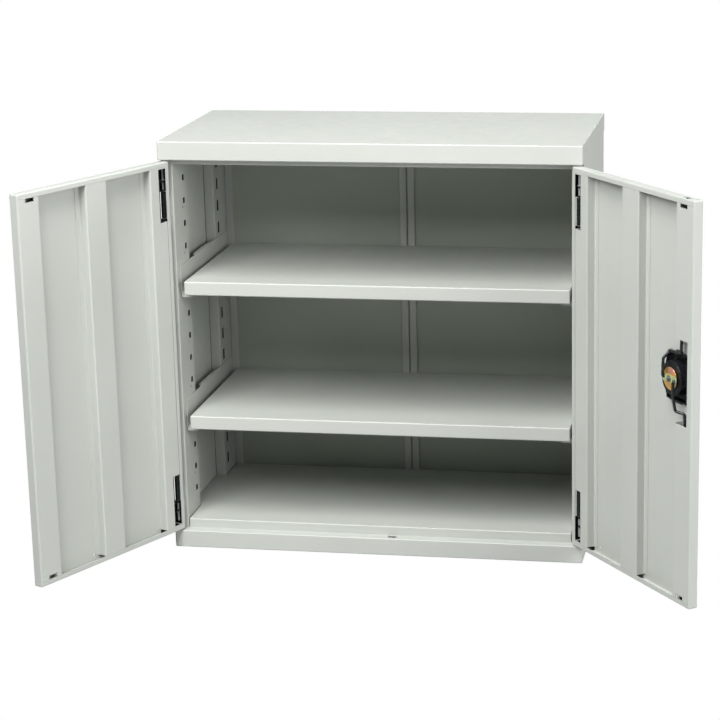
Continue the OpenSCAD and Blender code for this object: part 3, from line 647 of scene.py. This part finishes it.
@dataclass
class Carcass:
    """Posts, side and back panels, header rail and floor pan. Sizes in mm."""

    low_z: float = 38.0
    high_z: float = 898.8
    front_y: float = -201.0
    back_y: float = 222.6
    skin_x: float = 447.6
    post_x: float = 425.0
    flange: float = 13.0
    sheet: float = 1.2
    bend: float = 2.2
    rail_z: float = 847.75
    rail_w: float = 25.0
    floor_z: float = 58.0
    floor_x: float = 423.5
    fold_y: float = 215.8
    fold_w: float = 16.0
    front_slots: Sizes = (-123.0, 16.0, 106.0, 13.0)
    rear_slots: Sizes = (147.0, 16.0, 93.0, 25.0)
    gauge: Sizes = (-135.0, 2.5, 143.0)
    pitch: float = 50.0
    count: int = 15
    recess_y: Sizes = (-100.0, 118.0)
    knuckle_r: float = 5.5
    knuckle_z: Sizes = (735.75, 791.75)

    def post(self, side: Side, word: str, y0: float, y1: float, slots: Sizes) -> None:
        """Builds a post with its row of slots.

        Args:
            side: Left or right.
            word: "front" or "rear".
            y0: Front face.
            y1: Rear face.
            slots: Depth of the row, slot width, height of the lowest slot, slot height.
        """
        x0, x1 = -self.skin_x, -self.post_x
        section = [(x0, y0 + self.flange, self.low_z), (x0, y0, self.low_z),
                   (x1, y0, self.low_z), (x1, y1, self.low_z), (x0, y1, self.low_z),
                   (x0, y1 - self.flange, self.low_z)]
        piece = Forge().strip(section, (0, 0, self.high_z - self.low_z)).bend(self.bend)
        y, width, z, height = slots
        for k in range(self.count):
            mid = z + k * self.pitch
            piece.carve((x1 - 1, y - width / 2, mid - height / 2),
                        (x1 + 1, y + width / 2, mid + height / 2))
        if word == "front":
            hole_y, hole_r, hole_z = self.gauge
            for k in range(0, self.count - 1, 2):
                mid = hole_z + k * self.pitch
                piece.carve((x1 - 1, hole_y - hole_r, mid - hole_r),
                            (x1 + 1, hole_y + hole_r, mid + hole_r))
        piece.thicken(self.sheet, ((x0 + x1) / 2, (y0 + y1) / 2, (self.low_z + self.high_z) / 2))
        # Painted shade: faces inside the post's hollow get the near-black coat, so the slots look
        # dark.
        inner = (y0 + self.sheet + 0.1, y1 - self.sheet - 0.1, x1 - self.sheet - 0.1)
        piece.shade(lambda n, c: (n.x < -0.3 and inner[0] < c.y < inner[1] and c.x < inner[2] + 0.2)
                    or (abs(n.y) > 0.3 and inner[0] - 0.2 < c.y < inner[1] + 0.2
                        and n.y * (c.y - (y0 + y1) / 2) < 0 and c.x < inner[2]))
        piece.place(side.mirror())
        piece.deliver(f"{word}_{side.word}_post")

    def side_panel(self, side: Side, x: float = 448.8, back: float = 223.8,
                   flange: float = 48.0) -> None:
        """Builds a side panel with its flange round the back."""
        section = [(-x, self.front_y, self.low_z), (-x, back, self.low_z),
                   (-x + flange, back, self.low_z)]
        piece = Forge().strip(section, (0, 0, self.high_z - self.low_z)).bend(self.bend)
        piece.thicken(self.sheet, (0, 0, 450))
        for y in self.recess_y:
            piece.split((0, y, 0), (0, 1, 0))
        # Painted shade: the faces hidden behind the posts, in their hollows, get the near-black
        # coat.
        piece.shade(lambda n, c: (n.x > 0.5 or n.y < -0.5) and c.x > -x + self.sheet / 2
                    and not self.recess_y[0] < c.y < self.recess_y[1])
        piece.place(side.mirror())
        piece.deliver(f"{side.word}_side_panel")

    def back_panel(self, side: Side, edge: float = -424.7) -> None:
        """Builds a back panel with a box fold at the post and one at the seam.

        Args:
            side: Left or right; the left one reaches behind the right one's fold.
            edge: The panel's edge at the post.
        """
        z, w, y0, y1 = self.low_z, self.fold_w, self.fold_y, self.back_y
        seam = 0.0 if side is Side.LEFT else -2.6
        lip = y1 - self.sheet
        post_fold = [(edge + w, lip, z), (edge + w, y0, z), (edge, y0, z), (edge, y1, z)]
        seam_fold = [(seam, y1, z), (seam, y0, z), (seam - w, y0, z), (seam - w, lip, z)]
        way = (0, 0, self.high_z - z)
        piece = Forge().strip(post_fold + seam_fold, way).bend(1.6, 3)
        piece.thicken(self.sheet, (edge / 2, y0 - 400, 450))
        if side is Side.LEFT:
            piece.block((seam - 2, lip, z), (w - self.sheet, y1, self.high_z))
        # Painted shade: the recessed field between the folds gets a darker, greener coat for the
        # shade inside the cabinet.
        piece.shade(lambda n, c: n.y < -0.5 and c.y > y0 + 2)
        piece.place(side.mirror())
        piece.deliver(f"{side.word}_back_panel", shaded="inner_coat")

    def leaf(self, side: Side, word: str, sheet: float = 1.6) -> None:
        """Builds the frame leaf of a hinge: knuckle and plate with a flange in the cabinet's coat;
        the knuckle and the plate inside the door are coloured black as painted shade.

        Args:
            side: Left or right.
            word: "upper" or "lower".
            sheet: Thickness of the plate.
        """
        x, y, r, (low, high) = -HINGE_X, -HINGE_Y, self.knuckle_r, self.knuckle_z
        if word == "lower":
            low, high = 2 * DOOR_MID_Z - high, 2 * DOOR_MID_Z - low
        section = [(x - r, y, low), (x - r, self.front_y, low), (x - r + 19, self.front_y, low)]
        piece = Forge().strip(section, (0, 0, high - low)).bend(2.4)
        piece.thicken(sheet, (x + 12, y - 12, (low + high) / 2))
        piece.lathe([(2.26, low), (r - 0.3, low), (r, low + 0.3), (r, high - 0.3),
                     (r - 0.3, high), (2.26, high)], "Z", (x, y, 0), 40)
        # Painted shade: the knuckle and the plate inside the door get black, so the hinge window
        # looks dark.
        piece.shade(lambda n, c: c.y < self.front_y - 3)
        piece.place(side.mirror())
        piece.deliver(f"{word}_{side.word}_hinge_leaf", shaded="black_steel")

    def rail(self) -> None:
        """Builds the header rail, a channel open to the back."""
        y0, y1 = self.front_y, self.front_y + self.rail_w
        x, z0, z1 = -self.post_x, self.rail_z, self.high_z
        piece = Forge().strip([(x, y1, z0), (x, y0, z0), (x, y0, z1), (x, y1, z1)],
                              (2 * self.post_x, 0, 0)).bend(self.bend)
        piece.thicken(self.sheet, (0, (y0 + y1) / 2, (z0 + z1) / 2))
        piece.deliver("header_rail")

    def floor(self, ear_y: Sizes = (-99.7, 117.7)) -> None:
        """Builds the floor pan, which widens between the posts."""
        x, y0, y1 = self.floor_x, self.front_y, self.fold_y - 0.3
        piece = Forge().block((-x, y0, self.low_z), (x, y1, self.floor_z))
        bm = piece.bm
        for y in ear_y:
            piece.split((0, y, 0), (0, 1, 0))
        bm.normal_update()
        for side in (-1, 1):
            ends = [f for f in bm.faces if f.normal.x * side > 0.9
                    and ear_y[0] < f.calc_center_median().y < ear_y[1]]
            made = bmesh.ops.extrude_face_region(bm, geom=ends)["geom"]
            moved = [g for g in made if isinstance(g, bmesh.types.BMVert)]
            bmesh.ops.translate(bm, vec=(side * (self.skin_x - x), 0, 0), verts=moved)
            bmesh.ops.delete(bm, geom=ends, context="FACES")
        bm.normal_update()
        under = [f for f in bm.faces if f.normal.z < -0.9]
        bmesh.ops.delete(bm, geom=under, context="FACES")
        piece.bend(self.bend)
        piece.thicken(self.sheet, (0, 0, 48)).deliver("floor_pan")

    def build(self) -> None:
        """Builds every piece of the carcass between the trays."""
        for side in Side:
            front, rear = self.recess_y
            self.post(side, "front", self.front_y, front, self.front_slots)
            self.post(side, "rear", rear, self.back_y, self.rear_slots)
            self.side_panel(side)
            self.back_panel(side)
            for word in ("upper", "lower"):
                self.leaf(side, word)
        self.rail()
        self.floor()


@dataclass
class ShelfSet:
    """A shelf and the two brackets that carry it. Sizes in mm."""

    word: str
    seat_z: float
    half_w: float = 416.2
    shift: float = 4.6
    front_y: float = -200.0
    back_y: float = 215.5
    lip: float = 30.0
    turn: float = 12.0
    sheet: float = 1.2
    bend: float = 2.8
    web_x: float = -424.7
    web_y: float = -178.0
    web_sheet: float = 1.5
    web_h: float = 61.0
    foot: float = 24.7
    flap: float = 9.0
    wing: float = 7.8
    wing_y: Sizes = (-60.0, 115.0)
    wing_slant: Sizes = (13.0, 58.0)
    hook_y: Sizes = (-123.0, 147.0)
    hook_rise: Sizes = (36.5, 17.5)

    def shelf(self) -> None:
        """Builds the shelf, folded down all round and back under itself."""
        x, y0, y1, z0 = self.half_w, self.front_y, self.back_y, self.seat_z
        piece = Forge().block((-x, y0, z0), (x, y1, z0 + self.lip)).bend(self.bend, 5)
        piece.carve((-x + self.turn, y0 + self.turn, z0 - 1),
                    (x - self.turn, y1 - self.turn, z0 + 1))
        piece.thicken(self.sheet, (0, 0, z0 + self.lip / 2))
        piece.place(Matrix.Translation((self.shift, 0, 0)))
        piece.deliver(f"{self.word}_shelf")

    def bracket(self, side: Side) -> None:
        """Builds a bracket: foot with its flap, web, slanted wing and two hooks."""
        x, t, z0 = self.web_x, self.web_sheet, self.seat_z - self.web_sheet
        z1 = z0 + self.web_h
        y0 = self.web_y
        piece = Forge().strip([(x + self.foot, y0, z0), (x, y0, z0), (x, y0, z1 - t)],
                              (0, self.back_y - y0, 0))
        bm = piece.bm
        for y in self.wing_y:
            piece.split((0, y, 0), (0, 1, 0))
        rim = [e for e in bm.edges
               if e.is_boundary and all(v.co.z > z1 - t - 0.01 for v in e.verts)]
        middle = [e for e in rim
                  if self.wing_y[0] < sum(v.co.y for v in e.verts) / 2 < self.wing_y[1]]
        far = piece.draw(middle, (-self.wing, 0, 0))
        ends = sorted({v for e in far for v in e.verts}, key=lambda v: v.co.y)
        bmesh.ops.translate(bm, vec=(0, self.wing_slant[0], 0), verts=ends[:1])
        bmesh.ops.translate(bm, vec=(0, -self.wing_slant[1], 0), verts=ends[-1:])
        piece.draw([e for e in rim if e not in middle], (0, 0, t))
        piece.bend(1.9, 3, lambda e: abs(e.verts[0].co.y - e.verts[1].co.y) > 1)
        piece.thicken(t, (x + 400, 0, z1 + 400))
        piece.block((x + t, y0, self.seat_z - self.flap), (x + self.foot, y0 + t, z0 + t / 2))
        for y, rise in zip(self.hook_y, self.hook_rise):
            z = self.seat_z + rise
            piece.block((-429.5, y - 7, z), (x + t / 2, y + 7, z + 3))
            piece.block((-429.5, y - 7, z - 5), (-426.5, y + 7, z + 1.5))
        piece.place(side.mirror())
        piece.deliver(f"{self.word}_{side.word}_shelf_bracket")

    def build(self) -> None:
        """Builds the shelf and both brackets."""
        self.shelf()
        for side in Side:
            self.bracket(side)


# ---- doors


@dataclass
class Door:
    """A door pan with its stiffeners, drawn flat and hung open. Sizes in mm.

    X runs from the hinge edge, Y from the outer face towards the cabinet.
    """

    side: Side
    width: float = 448.0
    depth: float = 21.5
    z0: float = 40.75
    z1: float = 857.25
    sheet: float = 1.2
    rib_sheet: float = 1.0
    turn: float = 11.0
    bend: float = 3.0
    rib_bend: float = 2.6
    weld: float = 12.0
    hinge_rib: Sizes = (11.0, 60.0)
    middle_rib: Sizes = (193.0, 255.0)
    edge_rib: Sizes = (387.8, 446.8)
    window: Sizes = (729.75, 843.75)
    window_u: float = 34.0
    knuckle: Sizes = (733.75, 793.75)
    hang_slot: Sizes = (401.8, 425.8, 11.5, 19.5)
    lock_cut: Sizes = (432.8, 410.0, 580.0)
    lock_at: Sizes = (378.0, 497.0)
    lock_hole: Sizes = (36.8, 49.3)
    rod_u: float = 414.4
    rod_y: float = 13.5

    @property
    def mid_z(self) -> float:
        """Height of the door's middle, about which the two hinges are mirrored."""
        return (self.z0 + self.z1) / 2

    def levels(self, low: float, high: float) -> list[tuple[float, float]]:
        """Returns a height range at the upper hinge and its mirror at the lower one."""
        return [(low, high), (2 * self.mid_z - high, 2 * self.mid_z - low)]

    def panel(self) -> None:
        """Builds the pan: outer sheet, folded edges and narrow returns."""
        w, d, turn = self.width, self.depth, self.turn
        piece = Forge().block((0, 0, self.z0), (w, d, self.z1)).bend(self.bend, 5)
        piece.carve((turn, d - 4, self.z0 + turn), (w - self.sheet - 0.5, d + 1, self.z1 - turn))
        piece.carve((w - 4, d - 0.6, self.z0 + turn), (w + 1, d + 1, self.z1 - turn))
        for low, high in self.levels(*self.knuckle):
            piece.carve((-1, -1, low), (3.0, d + 1, high))
            piece.carve((-1, -1, low), (9.0, self.sheet, high))
        drain_u = 269.0 if self.side is Side.LEFT else 81.0
        drain_z = self.z0 + turn + 4
        piece.carve((drain_u - 2, -1, drain_z - 2), (drain_u + 2, 1, drain_z + 2))
        if self.side is Side.RIGHT:
            (u, z), (a, b) = self.lock_at, self.lock_hole
            piece.carve((u - a, -1, z - b), (u + a, 1, z + b))
            for end in (self.z0, self.z1):
                piece.carve((self.rod_u - 9, self.rod_y - 5, end - 1),
                            (self.rod_u + 9, self.rod_y + 5, end + 1))
        piece.thicken(self.sheet, (w / 2, d * 0.6, self.mid_z))
        # Painted shade: split at the hinge stiffener's leg, so that the skin's inside and the
        # hinge-side wall behind it get the near-black coat, and the hinge windows look dark.
        edge = self.hinge_rib[1] - 0.5
        piece.split((edge, 0, 0), (1, 0, 0))
        piece.shade(lambda n, c: c.x < edge
                    and ((n.y > 0.5 and c.y < 4) or (n.x > 0.5 and c.x < 4)))
        piece.place(self.side.door_space())
        piece.deliver(f"{self.side.word}_door_panel")

    def rib(self, word: str, span: Sizes, left: float, right: float) -> None:
        """Builds a hat-section stiffener.

        Args:
            word: "hinge", "middle" or "edge".
            span: Where its legs stand.
            left: Width of the weld flange on the hinge side; no flange at 0.
            right: Width of the weld flange on the free side; no flange at 0.
        """
        foot, top = self.sheet + self.rib_sheet, self.depth
        z0, z1 = self.z0 + self.turn + 0.3, self.z1 - self.turn - 0.3
        u0, u1 = span
        points = [(u0, foot if left else self.sheet, z0), (u0, top, z0), (u1, top, z0),
                  (u1, foot if right else self.sheet, z0)]
        if left:
            points.insert(0, (u0 - left, foot, z0))
        if right:
            points.append((u1 + right, foot, z0))
        piece = Forge().strip(points, (0, 0, z1 - z0)).bend(self.rib_bend)
        if word == "hinge":
            for low, high in self.levels(*self.window):
                piece.carve((u0 - 1, 0, low), (self.window_u, top + 1, high))
        if word == "edge":
            a, b, low, high = self.hang_slot
            for span_z in self.levels(self.z1 - high, self.z1 - low):
                piece.carve((a, top - 1, span_z[0]), (b, top + 1, span_z[1]))
            if self.side is Side.RIGHT:
                u, low, high = self.lock_cut
                piece.carve((u0 - left - 1, 0, low), (u, top + 1, high))
        piece.thicken(self.rib_sheet, ((u0 + u1) / 2, -400, self.mid_z))
        if word == "hinge":
            # Painted shade: the inside of the hinge stiffener's hat gets the near-black coat.
            piece.shade(lambda n, c: u0 < c.x < u1 - 0.5 and (n.y < -0.5 and c.y > top - 3
                                                             or n.x < -0.5 and c.x > u1 - 3))
        piece.place(self.side.door_space())
        piece.deliver(f"{self.side.word}_door_{word}_stiffener")

    def pin(self, word: str) -> None:
        """Builds a hinge pin with its collar and rounded ends."""
        piece = Forge().lathe([(0, 728.75), (1.7, 728.75), (2.2, 729.4), (2.2, 839.2),
                               (1.6, 840.0), (0, 840.0)], "Z", (6.0, 7.5, 0), 24)
        piece.lathe([(2.1, 816.3), (3.5, 816.3), (3.8, 816.6), (3.8, 817.9), (3.5, 818.2),
                     (2.1, 818.2)], "Z", (6.0, 7.5, 0), 24)
        if word == "lower":
            flip = Matrix.Diagonal((1, 1, -1, 1))
            piece.place(Matrix.Translation((0, 0, 2 * self.mid_z)) @ flip)
        piece.place(self.side.door_space())
        piece.deliver(f"{word}_{self.side.word}_hinge_pin", "zinc_plate")

    def build(self) -> None:
        """Builds the whole door."""
        self.panel()
        self.rib("hinge", self.hinge_rib, 0.0, self.weld)
        self.rib("middle", self.middle_rib, self.weld, self.weld)
        self.rib("edge", self.edge_rib, self.weld, 0.0)
        for word in ("upper", "lower"):
            self.pin(word)


# ---- lock


@dataclass
class Lock:
    """The rod lock, drawn about its centre in the right door's space. Sizes in mm."""

    centre: Sizes = (378.0, 0.0, 497.0)
    body: Sizes = (73.0, 98.0)
    rim: float = 5.5
    dish_r: float = 31.0
    dish_outer_r: float = 35.0
    dish_depth: float = 13.0
    dish_back: float = 22.0
    bezel: float = 2.0
    spindle_r: float = 7.0
    cam_r: float = 23.0
    cam_y: Sizes = (23.5, 25.5, 27.0)
    hook_r: float = 18.4
    rod_r: float = 3.0
    rod_y: float = 30.2
    run_y: float = 13.5
    bend: float = 6.0
    upper_step: float = 36.4
    upper_length: float = 360.37
    upper_lean: float = math.radians(2.9212)
    lower_length: float = 454.05

    def hang(self, piece: Forge) -> Forge:
        """Moves a piece from the lock's centre to its place on the open door."""
        return piece.place(Side.RIGHT.door_space() @ Matrix.Translation(self.centre))

    def housing(self) -> None:
        """Builds the moulding: rim plate, frame, dish, tabs and clips."""
        w, h = self.body
        piece = Forge().plate(w + 2 * self.rim, h + 2 * self.rim, 8, -self.bezel, 0,
                              hole=self.dish_r)
        for s in (-1, 1):
            piece.block((s * (w / 2 - 1.25) - 1.25, 0, -h / 2 + 3),
                        (s * (w / 2 - 1.25) + 1.25, 8, h / 2 - 3))
            piece.block((-w / 2 + 3, 0, s * (h / 2 - 1.25) - 1.25),
                        (w / 2 - 3, 8, s * (h / 2 - 1.25) + 1.25))
            piece.block((-10, 1.2, s * (h / 2 + 1) - 3), (10, 4.7, s * (h / 2 + 1) + 3))
        r, back = self.dish_outer_r, self.dish_back
        bore = self.spindle_r + 0.1
        piece.lathe([(r, 0), (r, back - 2.0), (r - 0.6, back - 0.6), (r - 2.0, back),
                     (bore + 3, back), (bore, back - 1), (bore, self.dish_depth),
                     (self.dish_r - 2, self.dish_depth), (self.dish_r, self.dish_depth - 2),
                     (self.dish_r, 0)], steps=72)
        piece.plate(19, 7, 1.2, 8, back - 4, (-15.5, -31.5))
        piece.plate(2.5, 15, 0.6, 8, back - 4, (-21.2, -35.5))
        piece.plate(16.5, 1.5, 0.5, 8, back - 4, (-14.2, -42.2))
        tab = Forge().strip([(-22.5, 8, 39.5), (-30, 8, 15), (-10, 8, 31)], (0, 10, 0))
        bmesh.ops.holes_fill(tab.bm, edges=tab.bm.edges, sides=0)
        ends = [e for e in tab.bm.edges if e.is_boundary]
        bmesh.ops.contextual_create(tab.bm, geom=ends)
        bmesh.ops.recalc_face_normals(tab.bm, faces=tab.bm.faces)
        piece.take(tab.bm)
        self.hang(piece).deliver("lock_housing", "black_moulding")

    def handle(self) -> None:
        """Builds the turn handle: round plate, grip bar, key boss and spindle."""
        front, base, plate_r = 0.5 - self.bezel, self.dish_depth - 0.3, self.dish_r - 1
        piece = Forge().lathe([(5.1, base - 3), (plate_r - 0.5, base - 3), (plate_r, base - 2.5),
                               (plate_r, base), (5.1, base)], steps=72)
        piece.lathe([(5.1, front), (9.7, front), (10.5, front + 0.8), (10.5, base), (5.1, base)])
        for s in (-1, 1):
            grip = Forge().block((5.5, front, -7), (plate_r - 1.2, base, 7)).bend(1.4, 4)
            piece.take(grip.place(Matrix.Diagonal((s, 1, 1, 1))).bm)
        piece.lathe([(2.1, base - 1), (self.spindle_r, base - 1), (self.spindle_r, self.cam_y[0]),
                     (2.1, self.cam_y[0])])
        piece.block((-4.5, self.cam_y[0] - 0.5, -4.5), (4.5, self.cam_y[2], 4.5))
        self.hang(piece).deliver("turn_handle", "black_moulding")

    def cam(self) -> None:
        """Builds the disc and the lever plate that the two rods hook into."""
        y0, y1, y2 = self.cam_y
        piece = Forge().lathe([(0, y0), (self.cam_r - 0.4, y0), (self.cam_r, y0 + 0.4),
                               (self.cam_r, y1 - 0.5), (self.cam_r - 0.5, y1), (0, y1)], steps=72)
        self.hang(piece).deliver("cam_disc", "yellow_zinc", "disc_passivate")
        piece = Forge().plate(2 * (self.hook_r + 6.5), 15, 6.4, y1, y2 - 0.2)
        piece.plate(2 * (self.hook_r + 6.2), 14.4, 6.1, y2 - 0.2, y2)
        self.hang(piece).deliver("cam_lever", "yellow_zinc", "lever_passivate")

    def rod(self, word: str, step: float, length: float, bends: Sizes,
            turn: Matrix) -> None:
        """Builds a lock rod from its hook to its tapered tip.

        Args:
            word: "upper" or "lower".
            step: How far the straight run stands towards the free edge.
            length: From the hook to the tip.
            bends: Height of the first bend, height and depth of the crossing.
            turn: Matrix from the rod's own space to the lock's.
        """
        rise, cross, depth = bends
        points = [(0, self.cam_y[0] - 1.2, 0), (0, self.rod_y, 0), (0, self.rod_y, rise),
                  (0, depth, cross), (step, self.run_y, cross + 3), (step, self.run_y, length)]
        piece = Forge().sweep(points, self.rod_r, self.bend, 5.0)
        self.hang(piece.place(turn)).deliver(f"{word}_lock_rod", "black_steel")

    def build(self) -> None:
        """Builds the whole lock."""
        self.housing()
        self.handle()
        self.cam()
        lean = Matrix.Translation((-self.hook_r, 0, 0)) @ Matrix.Rotation(self.upper_lean, 4, "Y")
        self.rod("upper", self.upper_step, self.upper_length, (38.0, 51.0, 15.0), lean)
        down = Matrix.Translation((self.hook_r, 0, 0)) @ Matrix.Diagonal((1, 1, -1, 1))
        self.rod("lower", self.upper_step - self.hook_r, self.lower_length, (29.0, 62.0, 24.0),
                 down)


# ---- studio


@dataclass
class Studio:
    """Camera, lamps, floor and backdrop of the photograph."""

    focal_px: float = 2277.1
    image_px: float = 720.0
    principal_px: Sizes = (418.65, 387.08)
    yaw: float = math.radians(10.39)
    pitch: float = math.radians(15.33)
    roll: float = math.radians(-1.07)
    place: Sizes = (0.9416, -4.8079, 1.6583)
    sensor: float = 36.0

    def camera(self) -> None:
        """Makes the camera at the photograph's viewing angle."""
        data = bpy.data.cameras.new("camera")
        data.sensor_width = self.sensor
        data.lens = self.focal_px * self.sensor / self.image_px
        half = self.image_px / 2
        data.shift_x = (half - self.principal_px[0]) / self.image_px
        data.shift_y = (self.principal_px[1] - half) / self.image_px
        forward = Vector((-math.sin(self.yaw) * math.cos(self.pitch),
                          math.cos(self.yaw) * math.cos(self.pitch), -math.sin(self.pitch)))
        level = Vector((math.cos(self.yaw), math.sin(self.yaw), 0.0))
        upright = level.cross(forward)
        right = math.cos(self.roll) * level + math.sin(self.roll) * upright
        up = -math.sin(self.roll) * level + math.cos(self.roll) * upright
        matrix = Matrix((right, up, -forward)).transposed().to_4x4()
        matrix.translation = Vector(self.place)
        camera = link("camera", data)
        camera.matrix_world = matrix
        bpy.context.scene.camera = camera

    def lamp(self, name: str, place: Sizes, size: float, power: float) -> None:
        """Adds a square soft light that looks at the cabinet's middle.

        Args:
            name: The lamp's name.
            place: Its position in metres.
            size: Side length in metres.
            power: Watts.
        """
        data = bpy.data.lights.new(name, "AREA")
        data.size = size
        data.energy = power
        lamp = link(name, data)
        lamp.location = place
        aim = Vector((0.0, 0.0, 0.45)) - Vector(place)
        lamp.rotation_mode = "QUATERNION"
        lamp.rotation_quaternion = aim.to_track_quat("-Z", "Y")

    def build(self) -> None:
        """Makes the whole studio."""
        self.camera()
        self.lamp("key", (-0.8, -2.8, 2.8), 1.6, 104.0)
        self.lamp("high", (-0.3, -1.9, 4.2), 1.6, 128.0)
        self.lamp("right", (3.6, -2.2, 1.7), 1.6, 102.0)
        self.lamp("rear right", (3.3, 1.4, 1.8), 1.6, 55.0)
        self.lamp("top", (0.2, 0.6, 3.8), 2.6, 42.0)
        self.floor()
        self.world()
        bpy.context.scene.view_settings.view_transform = "Standard"

    def floor(self) -> None:
        """Makes a pale floor that the camera sees as almost white."""
        bm = bmesh.new()
        bmesh.ops.create_grid(bm, x_segments=1, y_segments=1, size=20.0)
        mesh = bpy.data.meshes.new("floor")
        bm.to_mesh(mesh)
        bm.free()
        floor = link("floor", mesh)
        t = NodeTree("studio_floor")
        t.shader.inputs["Roughness"].default_value = 0.9
        t.shader.inputs["Specular IOR Level"].default_value = 0.1
        t.tint(t.noise(0.6, 2.0), (0.34, 0.34, 0.34), (0.37, 0.37, 0.37))
        glow = t.add("ShaderNodeEmission", Strength=1.0)
        mix = t.add("ShaderNodeMixShader")
        t.join(t.add("ShaderNodeLightPath"), "Is Camera Ray", mix, "Fac")
        t.tree.links.new(t.shader.outputs["BSDF"], mix.inputs[1])
        t.tree.links.new(glow.outputs["Emission"], mix.inputs[2])
        t.join(mix, "Shader", t.output, "Surface")
        mesh.materials.append(t.material)

    def world(self) -> None:
        """Makes a world that lights softly and looks white to the camera."""
        world = bpy.data.worlds.new("studio")
        bpy.context.scene.world = world
        world.use_nodes = True
        tree = world.node_tree
        tree.nodes.clear()
        kinds = ("OutputWorld", "MixShader", "Background", "Background", "LightPath")
        out, mix, soft, white, path = (tree.nodes.new(f"ShaderNode{kind}") for kind in kinds)
        soft.inputs["Color"].default_value = (0.95, 0.97, 1.0, 1.0)
        soft.inputs["Strength"].default_value = 0.05
        white.inputs["Strength"].default_value = 1.0
        tree.links.new(mix.outputs[0], out.inputs[0])
        sources = (path.outputs["Is Camera Ray"], soft.outputs[0], white.outputs[0])
        for source, target in zip(sources, mix.inputs):
            tree.links.new(source, target)


def dress_frame() -> None:
    """Gives every CAD node that stays the material of its slot, but the cam screw a dull zinc."""
    slots = {s["node"]: s["material_slot"] for s in frame["record"]["subparts"]}
    for name, node in frame["nodes"].items():
        if not node.hide_render:
            Forge.finishes.dress(node, "dull_zinc" if name == "cam_screw" else slots[name])
            log.info("%s keeps its shape, in %s", name, slots[name])


def main() -> None:
    """Builds the cabinet's looks and the studio in order."""
    logging.basicConfig(level=logging.INFO, format="%(name)s: %(message)s")
    Forge.finishes = Finishes()
    Tray().top()
    Tray().base()
    Carcass().build()
    ShelfSet("upper", 563.0).build()
    ShelfSet("lower", 263.0).build()
    for side in Side:
        Door(side).build()
    Lock().build()
    dress_frame()
    Studio().build()


if __name__ == "__main__":
    main()
